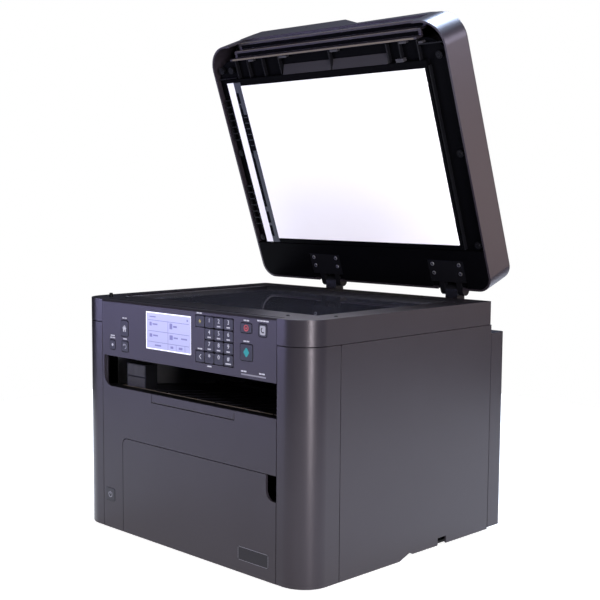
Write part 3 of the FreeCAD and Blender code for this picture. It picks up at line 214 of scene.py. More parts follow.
def rubber():
    look = rubberLook
    finish = Finish("rubber")
    grind = finish.node("ShaderNodeTexVoronoi", {}, {"Vector": finish.spot(),
                        "Scale": look["cells"]})
    return finish.surface(baseColor=finish.blend(grind, look["dark"], look["light"]),
                          roughness=look["rough"] + 0.1 * grind,
                          normal=finish.bump(grind, look["depth"]))


# Metals: how bright and how rough, brushed along x.
metals = {"zincSteel": {"shade": 0.5, "rough": 0.3}, "screwSteel": {"shade": 0.32, "rough": 0.35},
          "darkSteel": {"shade": 0.12, "rough": 0.3}}
brushing = (60, 900, 900)


def metal(name):
    shade, rough = metals[name]["shade"], metals[name]["rough"]
    finish = Finish(name)
    streaks = finish.node("ShaderNodeMapping", {}, {"Vector": finish.spot(), "Scale": brushing})
    brushed = finish.node("ShaderNodeTexNoise", {}, {"Vector": streaks, "Scale": 1.0,
                          "Detail": 4})
    bloom = finish.noise(90, 3)
    colour = finish.blend(bloom, (shade * 0.8, shade * 0.8, shade * 0.82),
                          (shade, shade, shade * 1.03))
    return finish.surface(baseColor=colour, metallic=1.0, roughness=rough + 0.2 * brushed,
                          normal=finish.bump(brushed, 0.12))


glassLook = {"tint": (0.20, 0.21, 0.28), "clear": 0.85, "ior": 1.45, "shine": 0.14,
             "rough": 0.005, "smears": 30}


def scanGlass():
    look = glassLook
    finish = Finish("scanGlass")
    smear = finish.noise(look["smears"], 3)
    return finish.surface(baseColor=look["tint"], roughness=look["rough"] + 0.015 * smear,
                          transmissionWeight=look["clear"], ior=look["ior"],
                          specularIorLevel=look["shine"])


foamLook = {"dark": (0.88, 0.87, 0.89), "light": (0.94, 0.93, 0.95), "cells": 700, "rough": 0.55,
            "depth": 0.08}


def whiteFoam():
    look = foamLook
    finish = Finish("whiteFoam")
    cells = finish.noise(look["cells"], 3)
    colour = finish.blend(finish.noise(9, 3), look["dark"], look["light"])
    return finish.surface(baseColor=colour, roughness=look["rough"] + 0.1 * cells,
                          normal=finish.bump(cells, look["depth"]))


stripLook = {"white": (0.82, 0.80, 0.86), "wide": 12.8, "grain": 1800, "rough": 0.42,
             "depth": 0.1}


def guideStrip():
    # white backing strip on the left, slate bar on the right, split along the lid
    look = stripLook
    finish = Finish("guideStrip")
    across = finish.node("ShaderNodeSeparateXYZ", {}, {"Vector": finish.spot()})
    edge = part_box("sheet_guide")[0][0] + look["wide"] * mm
    grain = finish.noise(look["grain"], 2)
    slate = finish.blend(grain, plastics["slate"]["dark"], plastics["slate"]["light"])
    colour = finish.blend(across > edge, look["white"], slate)
    return finish.surface(baseColor=colour, roughness=look["rough"] + 0.1 * grain,
                          normal=finish.bump(grain, look["depth"]))


boardLook = {"lacquer": (0.012, 0.085, 0.03), "copper": (0.10, 0.19, 0.05), "tracks": 60.0,
             "gap": 0.03, "rough": 0.35, "coat": 0.3}


def circuitBoard():
    look = boardLook
    finish = Finish("circuitBoard")
    upright = finish.node("ShaderNodeMapping", {}, {"Vector": finish.spot(),
                          "Rotation": (0, math.pi / 2, 0)})
    tracks = finish.node("ShaderNodeTexBrick", {}, {"Vector": upright, "Scale": look["tracks"],
                         "Mortar Size": look["gap"]}, out="Fac")
    colour = finish.blend(tracks, look["lacquer"], look["copper"])
    return finish.surface(baseColor=colour, roughness=look["rough"] + 0.15 * tracks,
                          coatWeight=look["coat"])


screenLook = {"glowDark": (0.44, 0.46, 0.78), "glowLight": (0.50, 0.52, 0.84),
              "dark": (0.10, 0.10, 0.16), "light": (0.12, 0.12, 0.19), "dots": 2600.0,
              "rough": 0.25, "glow": 0.66}


def screenGlow():
    look = screenLook
    finish = Finish("screenGlow")
    dots = finish.node("ShaderNodeTexVoronoi", {"feature": "DISTANCE_TO_EDGE"},
                       {"Vector": finish.spot(), "Scale": look["dots"]})
    return finish.surface(baseColor=finish.blend(dots, look["dark"], look["light"]),
                          roughness=look["rough"], emissionStrength=look["glow"],
                          emissionColor=finish.blend(dots, look["glowDark"], look["glowLight"]))


# Inks and flat coats: colour, and where they differ from the plain ones, glow and shine.
inks = {
    "printWhite": {"colour": (0.40, 0.40, 0.43)},
    "printGrey": {"colour": (0.26, 0.26, 0.29)},
    "printRed": {"colour": (0.36, 0.045, 0.045), "glow": 0.05},
    "printTeal": {"colour": (0.012, 0.19, 0.20), "glow": 0.06},
    "printYellow": {"colour": (0.36, 0.30, 0.07)},
    "screenWhite": {"colour": (0.80, 0.80, 0.93), "glow": 0.6},
    "screenLine": {"colour": (0.16, 0.16, 0.36), "glow": 0.12},
    # a black for painted shade in the gaps round the keys and in the screws' crosses, and for print
    # bars
    "shadeAndPrintBlack": {"colour": (0.002, 0.002, 0.003), "shine": 0.05},
    # a light grey for the panel's light strip and the door plate's line, and for painted highlights on
    # the reader's top
    "greyTrimAndHighlight": {"colour": (0.17, 0.165, 0.19)},
    # a brown for painted highlights along lit edges of the slot's lip and the lid's grip steps
    "brownEdgeHighlight": {"colour": (0.115, 0.095, 0.075)},
    "labelGrey": {"colour": (0.05, 0.05, 0.055)},
    "floorWhite": {"colour": (0.66, 0.66, 0.66), "glow": 1.42},
}


plainInk = {"glow": 0.0, "shine": 0.25, "speckle": 4000, "dim": 0.88, "rough": 0.5}


def ink(name):
    look = {**plainInk, **inks[name]}
    finish = Finish(name)
    speckle = finish.noise(look["speckle"], 1)
    dimmed = tuple(c * look["dim"] for c in look["colour"])
    shade = finish.blend(speckle, dimmed, look["colour"])
    return finish.surface(baseColor=shade, roughness=look["rough"] + 0.1 * speckle,
                          emissionColor=shade, emissionStrength=look["glow"],
                          specularIorLevel=look["shine"])


finishes = {name: plastic(name) for name in plastics}
finishes.update({name: metal(name) for name in metals})
finishes.update({name: ink(name) for name in inks})
finishes.update({"rubber": rubber(), "scanGlass": scanGlass(), "whiteFoam": whiteFoam(),
                 "guideStrip": guideStrip(), "circuitBoard": circuitBoard(),
                 "screenGlow": screenGlow()})
print("finishes:", len(finishes))


# Edges: degrees over which one is sharp, or gets a bevel, and below which two faces are flat.
edges = {"sharp": 35, "bevelled": 40, "flat": 1, "segments": 2, "weld": 0.002}


class Maker:
    # gathers solids drawn in millimetres into one mesh
    def __init__(self):
        self.mesh = bmesh.new()

    def box(self, x, y, z):
        size = [high - low for low, high in (x, y, z)]
        middle = [(high + low) / 2 for low, high in (x, y, z)]
        spot = Matrix.Translation(middle) @ Matrix.Diagonal((*size, 1))
        bmesh.ops.create_cube(self.mesh, size=1, matrix=spot)
        return self

    def rod(self, axis, centre, radius, length, sides=32, tip=None):
        turn = {"Y": Matrix.Rotation(math.pi / 2, 4, "X"), "Z": Matrix.Identity(4)}[axis]
        bmesh.ops.create_cone(self.mesh, cap_ends=True, segments=sides, radius1=radius,
                              radius2=radius if tip is None else tip, depth=length,
                              matrix=Matrix.Translation(centre) @ turn)
        return self

    def prism(self, plane, outline, low, high):
        # an outline in the XZ, YZ or XY plane, carried along the axis that is left
        order = {"XZ": (0, 2, 1), "YZ": (1, 2, 0), "XY": (0, 1, 2)}[plane]
        ends = []
        for depth in (low, high):
            loop = []
            for u, v in outline:
                spot = [0, 0, 0]
                spot[order[0]], spot[order[1]], spot[order[2]] = u, v, depth
                loop.append(self.mesh.verts.new(spot))
            ends.append(loop)
        first, second = ends
        count = len(outline)
        self.mesh.faces.new(first)
        self.mesh.faces.new(second[::-1])
        for i in range(count):
            k = (i + 1) % count
            self.mesh.faces.new((first[i], second[i], second[k], first[k]))
        return self

    def arc(self, x, z, radius, thick, start, end, low, high, sides=28):
        # a curved bar that faces the front; angles in radians from +x
        angles = [start + (end - start) * i / sides for i in range(sides + 1)]
        for one, two in zip(angles, angles[1:]):
            corners = [(x + r * math.cos(a), z + r * math.sin(a))
                       for r, a in ((radius - thick / 2, one), (radius + thick / 2, one),
                                    (radius + thick / 2, two), (radius - thick / 2, two))]
            self.prism("XZ", corners, low, high)
        return self

    def letter(self, text, size, x, y, z, thick):
        # one printed digit or sign that faces the front
        curve = bpy.data.curves.new("sign", "FONT")
        curve.body = text
        curve.size = size
        curve.extrude = thick
        curve.offset = size * 0.012      # a little bolder than the plain face
        curve.align_x = "CENTER"
        curve.align_y = "CENTER"
        holder = bpy.data.objects.new("sign", curve)
        bpy.context.collection.objects.link(holder)
        bpy.context.view_layer.update()
        flat = bpy.data.meshes.new_from_object(holder)
        flat.transform(Matrix.Translation((x, y, z)) @ Matrix.Rotation(math.pi / 2, 4, "X"))
        self.mesh.from_mesh(flat)
        bpy.data.objects.remove(holder)
        return self

    def done(self, name, body, slot, finish, lid=False, bevel=0.0):
        bmesh.ops.recalc_face_normals(self.mesh, faces=self.mesh.faces)
        data = bpy.data.meshes.new(name)
        self.mesh.to_mesh(data)
        self.mesh.free()
        data.transform(drawnLid if lid else drawn)
        piece = bpy.data.objects.new(name, data)
        bpy.context.collection.objects.link(piece)
        data.materials.append(finishes[finish])
        data.shade_smooth()
        data.set_sharp_from_angle(angle=math.radians(edges["sharp"]))
        if bevel:
            soften(piece, bevel * mm, False)
        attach(piece, body)
        return piece


def soften(piece, width, imported=True):
    # an imported node comes in triangles, so its flat faces are joined first
    if imported:
        piece.modifiers.new("weld", "WELD").merge_threshold = edges["weld"] * mm
        flat = piece.modifiers.new("flat", "DECIMATE")
        flat.decimate_type = "DISSOLVE"
        flat.angle_limit = math.radians(edges["flat"])
    bevel = piece.modifiers.new("bevel", "BEVEL")
    bevel.width = width
    bevel.segments = edges["segments"]
    bevel.angle_limit = math.radians(edges["bevelled"])
    normals = piece.modifiers.new("normals", "WEIGHTED_NORMAL")
    normals.keep_sharp = False


# Which CAD nodes wear which finish, and how wide their soft edges are.
nodeFinish = {
    "lidCharcoal": ["lid_shell", "feeder_cover"],
    "caseCharcoal": ["corner_cover_left", "corner_cover_right", "side_cover_left",
                     "side_cover_right", "front_cover", "rear_panel", "rear_cover", "front_door",
                     "paper_stopper", "scanner_frame", "document_tray"],
    "panelCharcoal": ["operation_panel"],
    "innerBlack": ["scanner_base", "scan_carriage", "base_pan", "toner_cartridge", "laser_unit",
                   "fuser_unit", "toner_cover"],
    "lidShadeBlack": ["lid_base"],
    "guideGrey": ["paper_guide_left", "paper_guide_right"],
    "rimBlack": ["document_guide_front", "document_guide_rear", "rear_sockets"],
    "rubber": ["feet", "pickup_roller", "exit_roller"],
    "zincSteel": ["side_frames", "drive_motor"], "hingeBlack": ["lid_hinges", "hinge_sockets"],
    "scanGlass": ["scanner_glass"], "whiteFoam": ["platen_sheet"],
    "guideStrip": ["sheet_guide"], "circuitBoard": ["main_board"], "screenGlow": ["lcd_screen"],
    "keyCharcoal": ["power_button"] + [name for name in nodes if name.startswith("key_")],
}
edgeWidth = {"lid_shell": 0.7, "feeder_cover": 0.8, "scanner_frame": 0.6, "operation_panel": 0.35,
             "rear_panel": 0.6, "front_door": 0.4, "platen_sheet": 0.4, "document_tray": 0.6}
plainEdge = 0.3
for finishName, members in nodeFinish.items():
    for name in members:
        shape = nodes[name]
        shape.data.materials.clear()
        shape.data.materials.append(finishes[finishName])
        if name != "scanner_glass":
            soften(shape, edgeWidth.get(name, plainEdge) * mm)
print("nodes finished")


# Labels of the panel as plain bars: middle, height, width and number of bars.
labelBar = {"gap": 0.7, "tall": 1.5, "proud": 0.04}
panelLabels = {"home": (-106, 270.6, 8.5, 2), "statusUpper": (-130, 247.4, 8, 1),
               "statusLower": (-130, 244.8, 9.5, 2), "back": (-105.5, 245.2, 7, 1),
               "reset": (30.5, 287.5, 8.5, 2), "clear": (31.5, 247.2, 8, 2),
               "tone": (47.6, 228.6, 7, 1), "stop": (107, 285.2, 8.5, 2),
               "energy": (132.3, 286.6, 17, 4), "start": (107, 262.6, 9, 2),
               "data": (103, 229.6, 8.5, 2), "error": (131, 229.6, 8.5, 2)}


def words(maker, x, z, wide, y=0.0, tall=labelBar["tall"], parts=2):
    # a printed label without letters: a row of short bars
    gap = labelBar["gap"]
    piece = (wide - gap * (parts - 1)) / parts
    for index in range(parts):
        left = x - wide / 2 + index * (piece + gap)
        maker.box((left, left + piece), (y - labelBar["proud"], y), (z - tall / 2, z + tall / 2))


labels = Maker()
for x, z, wide, parts in panelLabels.values():
    words(labels, x, z, wide, parts=parts)
labels.done("panel_labels", "panel", "panel", "printWhite")

lightStrip = {"x": (99, 137), "z": (225.4, 227.0), "proud": 0.04,
              "lights": ((102, 105), (129.5, 132.5)), "lightZ": (225.7, 226.7), "lightProud": 0.08}
strip = Maker().box(lightStrip["x"], (-lightStrip["proud"], 0), lightStrip["z"])
for x in lightStrip["lights"]:
    strip.box(x, (-lightStrip["lightProud"], 0), lightStrip["lightZ"])
strip.done("panel_light_strip", "panel", "panel", "greyTrimAndHighlight")


def rounded(x, z, wide, tall, radius, steps=5):
    # outline of a rectangle with round corners
    outline = []
    for corner, (sx, sz) in enumerate(((1, -1), (1, 1), (-1, 1), (-1, -1))):
        for step in range(steps + 1):
            turn = (corner - 1 + step / steps) * math.pi / 2
            outline.append((x + sx * (wide / 2 - radius) + radius * math.cos(turn),
                            z + sz * (tall / 2 - radius) + radius * math.sin(turn)))
    return outline


def ring(maker, x, z, wide, tall, radius, band, low, high):
    # a flat frame with round corners
    outer = rounded(x, z, wide + 2 * band, tall + 2 * band, radius + band)
    inner = rounded(x, z, wide, tall, radius)
    for i in range(len(outer)):
        k = (i + 1) % len(outer)
        maker.prism("XZ", [outer[i], outer[k], inner[k], inner[i]], low, high)


# Dark rings round six keys: painted shade in the gaps between each key and the panel.
keyGapShade = {"gap": 0.3, "radius": 2.3, "band": 0.5, "front": -0.02, "back": 0.3}
gapShade = Maker()
for key in ("home", "back", "status", "stop", "energy", "start"):
    low, high = nodeBox("key_" + key)
    ring(gapShade, (low.x + high.x) / 2, (low.z + high.z) / 2, high.x - low.x + 2 * keyGapShade["gap"],
         high.z - low.z + 2 * keyGapShade["gap"], keyGapShade["radius"], keyGapShade["band"],
         keyGapShade["front"], keyGapShade["back"])
gapShade.done("key_gap_shade", "panel", "panel", "shadeAndPrintBlack")


# Signs of the keys, drawn about the middle of the key's face, in half turns where they bend.
signProud = 0.03


def keyMiddle(name):
    low, high = nodeBox(name)
    return (low.x + high.x) / 2, low.y, (low.z + high.z) / 2


def stamp(maker, middle, outline, proud=signProud):
    x, y, z = middle
    maker.prism("XZ", [(x + u, z + v) for u, v in outline], y, y - proud)


def bend(maker, middle, radius, thick, start, end, low=0.0, high=signProud):
    x, y, z = middle
    maker.arc(x, z, radius, thick, start * math.pi, end * math.pi, y - low, y - high)


def drawHome(maker, middle):
    stamp(maker, middle, [(-4, 0), (0, 4.2), (4, 0), (3, 0), (0, 3), (-3, 0)])
    stamp(maker, middle, [(-2.6, -4), (-0.8, -4), (-0.8, -1.4), (0.8, -1.4), (0.8, -4), (2.6, -4),
                          (2.6, 0.2), (0, 2.4), (-2.6, 0.2)])


def drawBack(maker, middle):
    bend(maker, middle, 2.6, 0.9, -0.5, 0.75)
    stamp(maker, middle, [(-4, 1.8), (-1, 3.6), (-1, 0.2)])


def drawStatus(maker, middle):
    x, y, z = middle
    maker.rod("Y", (x, y - signProud / 2, z), 1.7, signProud, 20)


def drawStop(maker, middle):
    bend(maker, middle, 3.1, 1.0, 0, 2)
    stamp(maker, middle, [(-1.5, -1.1), (1.5, -1.1), (0, 1.5)])


def drawEnergy(maker, middle):
    stamp(maker, middle, rounded(0, 0, 8.2, 10, 1.8), 0.02)


def drawMoon(maker, middle):
    x, y, z = middle
    bend(maker, (x + 0.3, y, z + 0.2), 2.5, 1.3, 0.6, 1.75, 0.02, 0.04)


def drawStart(maker, middle):
    stamp(maker, middle, [(-4.6, 0), (-3.9, -0.9), (-0.8, -4.9), (0.8, -4.9), (3.9, -0.9), (4.6, 0),
                          (3.9, 0.9), (0.8, 4.9), (-0.8, 4.9), (-3.9, 0.9)])


def drawBolt(maker, middle):
    stamp(maker, middle, [(0.4, 2.9), (-2.2, -0.5), (-0.3, -0.5), (-0.6, -2.9), (2.2, 0.6),
                          (0.2, 0.6)])


def drawChevron(maker, middle):
    stamp(maker, middle, [(1.6, 3), (-1.6, 0), (1.6, -3), (2.3, -2.5), (-0.4, 0), (2.3, 2.5)])


keySigns = {"home": ((drawHome, "printWhite"),), "back": ((drawBack, "printGrey"),),
            "status": ((drawStatus, "printWhite"),), "stop": ((drawStop, "printRed"),),
            "energy": ((drawEnergy, "printGrey"), (drawMoon, "keyCharcoal")),
            "start": ((drawStart, "printTeal"),), "reset": ((drawBolt, "printYellow"),),
            "clear": ((drawChevron, "printWhite"),)}
for key, signs in keySigns.items():
    for number, (draw, finishName) in enumerate(signs):
        sign = Maker()
        draw(sign, keyMiddle("key_" + key))
        sign.done(f"sign_{key}_{number}", "cap_" + key, "key_cap", finishName)

# Digits of the keypad: size, rise above the key's middle, and the bar of letters under them.
digitPrint = {"size": 6.6, "rise": 2.0, "starSize": 9, "starRise": 0.6, "proud": 0.04,
              "barDrop": 3.6, "barTall": 1.4, "barWide": 5.5, "hashBarWide": 8.5}
d = digitPrint
digits = {"*": (d["starSize"], d["starRise"], 0), "#": (d["size"], d["rise"], d["hashBarWide"])}
for number in range(10):
    digits[str(number)] = (d["size"], d["rise"], 0 if number < 2 else d["barWide"])
for text, (size, rise, barWide) in digits.items():
    key = {"*": "star", "#": "hash"}.get(text, text)
    x, y, z = keyMiddle("key_" + key)
    digit = Maker()
    digit.letter(text, size, x, y, z + rise, d["proud"])
    if barWide:
        words(digit, x, z - d["barDrop"], barWide, y, d["barTall"], 1)
    digit.done("digit_" + key, "cap_" + key, "key_cap", "printWhite")

# The page on the screen; rows, splits and marks are shares of it, from the left and the top.
screenPage = {"x": (-65.7, 16.0), "z": (237.8, 282.2), "border": 1.3, "line": 0.6, "proud": 0.03,
              "margins": (0.05, 0.95), "rows": (0.21, 0.50, 0.79), "split": 0.49,
              "lowSplits": (0.49, 0.67, 0.86), "markProud": 0.02,
              "marks": ((0.08, 0.11, 0.22, 0.14), (0.90, 0.10, 0.93, 0.15),
                        (0.08, 0.27, 0.13, 0.37), (0.15, 0.30, 0.26, 0.34),
                        (0.53, 0.25, 0.59, 0.40), (0.61, 0.30, 0.69, 0.35),
                        (0.08, 0.58, 0.14, 0.67), (0.16, 0.60, 0.27, 0.64),
                        (0.53, 0.56, 0.60, 0.68), (0.62, 0.60, 0.71, 0.64),
                        (0.78, 0.60, 0.91, 0.64), (0.20, 0.86, 0.34, 0.90),
                        (0.55, 0.85, 0.61, 0.91), (0.73, 0.85, 0.81, 0.91))}
page = screenPage
pageFront = nodeBox("lcd_screen")[0].y
pageWide = page["x"][1] - page["x"][0]
pageTall = page["z"][1] - page["z"][0]


def onScreen(maker, left, top, right, bottom, proud=page["proud"]):
    maker.box((page["x"][0] + left * pageWide, page["x"][0] + right * pageWide),
              (pageFront - proud, pageFront),
              (page["z"][1] - bottom * pageTall, page["z"][1] - top * pageTall))


edgeU, edgeV = page["border"] / pageWide, page["border"] / pageTall
border = Maker()
onScreen(border, 0, 0, 1, edgeV)
onScreen(border, 0, 1 - edgeV, 1, 1)
onScreen(border, 0, edgeV, edgeU, 1 - edgeV)
onScreen(border, 1 - edgeU, edgeV, 1, 1 - edgeV)
border.done("screen_border", "panel", "screen", "screenWhite")
thinU, thinV = page["line"] / pageWide, page["line"] / pageTall
pageLines = Maker()
near, far = page["margins"]
firstRow, lastRow = page["rows"][0], page["rows"][-1]
for v in page["rows"]:
    onScreen(pageLines, near, v, far, v + thinV)
onScreen(pageLines, page["split"], firstRow, page["split"] + thinU, lastRow)
for u in page["lowSplits"]:
    onScreen(pageLines, u, lastRow, u + thinU, far)
for mark in page["marks"]:
    onScreen(pageLines, *mark, page["markProud"])
pageLines.done("screen_page", "panel", "screen", "screenLine")
print("panel printed")


# Front: power sign, blank plate on the door, lip of the slot with painted shade and a painted
# highlight, block on the slot's floor.
powerSign = {"radius": 3.3, "thick": 0.7, "start": 0.68, "end": 2.32, "bar": (0.6, 4.2)}
power = Maker()
middle = keyMiddle("power_button")
bend(power, middle, powerSign["radius"], powerSign["thick"], powerSign["start"], powerSign["end"])
stamp(power, middle, [(s * powerSign["thick"] / 2, powerSign["bar"][end])
                      for s, end in ((-1, 0), (1, 0), (1, 1), (-1, 1))])
power.done("power_sign", "power_key", "key_cap", "printGrey")

doorPlate = {"x": 118, "z": 26, "wide": 48, "tall": 16, "radius": 1.5, "proud": 0.10,
             "inset": 0.6, "line": 0.4, "lineProud": 0.14, "lineSink": 0.02, "cornerGap": 0.9}
p = doorPlate
plate = Maker()
plate.prism("XZ", rounded(p["x"], p["z"], p["wide"], p["tall"], p["radius"]), 0, -p["proud"])
plate.done("door_plate", "door", "housing", "rimBlack")
plateEdge = Maker()
lineY = (-p["lineProud"], p["lineSink"] - p["proud"])
reachX, reachZ = p["wide"] / 2 - p["inset"], p["tall"] / 2 - p["inset"]
for side in (-1, 1):
    z = p["z"] + side * reachZ
    plateEdge.box((p["x"] - reachX + p["cornerGap"], p["x"] + reachX - p["cornerGap"]), lineY,
                  (z - p["line"] / 2, z + p["line"] / 2))
    x = p["x"] + side * reachX
    plateEdge.box((x - p["line"] / 2, x + p["line"] / 2), lineY,
                  (p["z"] - reachZ + p["cornerGap"], p["z"] + reachZ - p["cornerGap"]))
plateEdge.done("door_plate_line", "door", "housing", "greyTrimAndHighlight")

slotLip = {"x": (-146, 152.2), "y": (2.7, 15.3), "z": 184.0, "thick": 0.2, "beadY": (14.2, 15.2),
           "beadTall": 0.6, "beads": ((-128, -60), (-57, 40), (43, 133), (136, 151))}
s = slotLip
# a dark sheet on the slot's lip, which lies under the reader: painted shade
lip = Maker().box(s["x"], s["y"], (s["z"], s["z"] + s["thick"]))
lip.done("slot_lip_shade", "chassis", "black_inner", "innerBlack")
beadHighlight = Maker()
# a raised brown strip along the lip's edge, painted as a highlight
for x in s["beads"]:
    beadHighlight.box(x, s["beadY"], (s["z"] + s["thick"], s["z"] + s["thick"] + s["beadTall"]))
beadHighlight.done("slot_lip_bead_highlight", "chassis", "black_inner", "brownEdgeHighlight", bevel=0.15)

handle = {"left": -120.8, "count": 14, "pitch": 2.4, "wide": 1.5, "y": (15.6, 16.2),
          "rows": ((185.0, 196.6), (198.4, 212.2))}
treads = Maker()
for row in handle["rows"]:
    for index in range(handle["count"]):
        x = handle["left"] + index * handle["pitch"]
        treads.box((x, x + handle["wide"]), handle["y"], row)
treads.done("slot_handle_treads", "toner_lid", "housing", "handleBrown", bevel=0.2)

runner = {"slope": [(18, 183.9), (60, 178.1), (190, 164.7)], "tall": 1.2, "wide": 1.6,
          "first": -72, "pitch": 26, "count": 9}
runners = Maker()
upper = [(y, z + runner["tall"]) for y, z in runner["slope"]]
for index in range(runner["count"]):
    x = runner["first"] + index * runner["pitch"]
    runners.prism("YZ", runner["slope"] + upper[::-1], x, x + runner["wide"])
runners.done("output_runners", "toner_lid", "housing", "rimBlack", bevel=0.25)
print("front detailed")


# Reader: sloped lips of the window, lines painted as highlights beside the glass's left edge, bumps,
# bars on the rear ledge, lamp.
readerTop = nodeBox("scanner_frame")[1].z
glassTop = nodeBox("scanner_glass")[1].z
window = {"left": -148, "right": 162, "front": 53, "back": 285, "run": 2.4}
w = window


def windowLips(name, y, alongY, x, alongX, finish):
    # two sloped edges that meet in a corner; along is the way that each slopes
    lips = Maker()
    lips.prism("YZ", [(y, readerTop), (y, glassTop), (y + alongY, glassTop)], w["left"], w["right"])
    lips.prism("XZ", [(x, readerTop), (x, glassTop), (x + alongX, glassTop)], w["front"], w["back"])
    lips.done(name, "chassis", "housing", finish)


# The front and right lips wear the light grey as a painted highlight; the rear and left ones keep the
# rim's black.
windowLips("window_lip_front", w["front"], w["run"], w["right"], -w["run"], "greyTrimAndHighlight")
windowLips("window_lip_rear", w["back"], -w["run"], w["left"], w["run"], "rimBlack")

# The two light lines beside the glass's left edge are painted highlights; the triangles are printed
# marks.
topHighlightAndPrint = {"lines": ((-154.6, -151.6), (-157.6, -156.8)), "y": (50, 284), "lineProud": 0.03,
            "marks": ([(172, 40), (176, 43), (172, 46)], [(-158, 43), (-155, 47), (-161, 47)]),
            "markProud": 0.06}
edgeHighlights = Maker()
for x in topHighlightAndPrint["lines"]:
    edgeHighlights.box(x, topHighlightAndPrint["y"], (readerTop, readerTop + topHighlightAndPrint["lineProud"]))
edgeHighlights.done("glass_edge_highlight", "chassis", "housing", "greyTrimAndHighlight")
marks = Maker()
for outline in topHighlightAndPrint["marks"]:
    marks.prism("XY", outline, readerTop, readerTop + topHighlightAndPrint["markProud"])
marks.done("corner_marks", "chassis", "housing", "printGrey")

bump = {"radius": 2.2, "tip": 1.6, "tall": 0.8,
        "spots": ((-186, 40), (-186, 92), (-186, 150), (-186, 210), (-186, 270), (182, 60),
                  (182, 270), (-140, 30), (140, 30)),
        "pin": (-168, 27), "pinRadius": 2.6, "pinTip": 2.2, "pinTall": 4.8, "sides": 24}
bumps = Maker()
for x, y in bump["spots"]:
    bumps.rod("Z", (x, y, readerTop + bump["tall"] / 2), bump["radius"], bump["tall"],
              bump["sides"], bump["tip"])
bumps.rod("Z", (*bump["pin"], readerTop + bump["pinTall"] / 2), bump["pinRadius"],
          bump["pinTall"], bump["sides"], bump["pinTip"])
bumps.done("reader_bumps", "chassis", "rubber", "innerBlack", bevel=0.2)

ledgeBar = {"x": (-46, 104), "rows": (299, 311), "deep": 5, "tall": 0.8}
ledge = Maker()
for y in ledgeBar["rows"]:
    ledge.box(ledgeBar["x"], (y, y + ledgeBar["deep"]), (readerTop, readerTop + ledgeBar["tall"]))
ledge.done("ledge_bars", "chassis", "housing", "handleBrown", bevel=0.25)

carriageLamp = {"x": (-168.5, -165.5), "y": (56, 278), "tall": 0.4}
carriageTop = nodeBox("scan_carriage")[1].z
lamp = Maker().box(carriageLamp["x"], carriageLamp["y"],
                   (carriageTop, carriageTop + carriageLamp["tall"]))
lamp.done("carriage_lamp", "carriage", "scan_glass", "printWhite")
print("reader detailed")


# Underside of the lid. Every rib hangs from the same web; "cut" is how far it stops short.
lidRibs = {"low": 293.6, "base": 299.0, "thick": 1.6, "front": 22, "back": 45.6,
           "cross": (-150, -128, -100, -70, 17, 108, 127),
           "others": (((153.6, 155.2), (22, 53), 0), ((155.2, 191), (26.6, 28.2), 0),
                      ((-191, -156), (44.2, 45.6), 2), ((164.2, 165.4), (53, 282), 0))}
ladder = {"runs": ((74, 132), (198, 262)), "rails": (-190.4, -179.2), "rail": 1.2,
          "rungX": (-190.4, -178), "rung": 1.4, "pitch": 9.4, "cut": 1}
r = lidRibs
ribs = Maker()
for x in r["cross"]:
    ribs.box((x, x + r["thick"]), (r["front"], r["back"]), (r["low"], r["base"]))
for x, y, cut in r["others"]:
    ribs.box(x, y, (r["low"] + cut, r["base"]))
ladderZ = (r["low"] + ladder["cut"], r["base"])
for low, high in ladder["runs"]:
    for x in ladder["rails"]:
        ribs.box((x, x + ladder["rail"]), (low, high), ladderZ)
    for index in range(int((high - low) / ladder["pitch"]) + 1):
        y = low + index * ladder["pitch"]
        ribs.box(ladder["rungX"], (y, y + ladder["rung"]), ladderZ)
ribs.done("lid_ribs", "lid", "black_inner", "hingeBlack", lid=True, bevel=0.2)

lidTabs = {"boxes": (((-124, -115), (21.6, 24.4), 0.6), ((-67, -54), (21.6, 24.4), 0.6),
                     ((21, 33), (21.6, 24.4), 0.6), ((129, 139), (21.6, 24.4), 0.6),
                     ((120, 131), (41.5, 45.8), 1.2), ((157, 163), (24, 26.4), 0.6)),
           "wedges": ((-66, 16), (19.2, 107)),
           "wedge": [(34, 298.4), (45.9, 292.6), (45.9, 299), (34, 299)]}
tabs = Maker()
for x, y, drop in lidTabs["boxes"]:
    tabs.box(x, y, (r["low"] - drop, r["base"]))
for left, right in lidTabs["wedges"]:
    tabs.prism("YZ", lidTabs["wedge"], left, right)
tabs.done("lid_tabs", "lid", "black_inner", "tabGrey", lid=True, bevel=0.25)

# Screw bosses along the lid's rim; the second carries no screw.
boss = {"radius": 4.6, "tip": 4.2, "tall": 4.4, "low": 294.6, "sides": 28, "screwTall": 0.8,
        "spots": ((-181, 33), (-163, 34), (181, 42), (-184, 150), (184, 160), (-184, 276),
                  (184, 276))}
bosses = Maker()
for x, y in boss["spots"]:
    bosses.rod("Z", (x, y, boss["low"] + boss["tall"] / 2), boss["radius"], boss["tall"],
               boss["sides"], boss["tip"])
bosses.done("lid_bosses", "lid", "black_inner", "innerBlack", lid=True, bevel=0.2)

screwHead = {"radius": 2.6, "sides": 24, "reach": 0.62, "bar": 0.13, "from": 0.9, "to": 1.06}


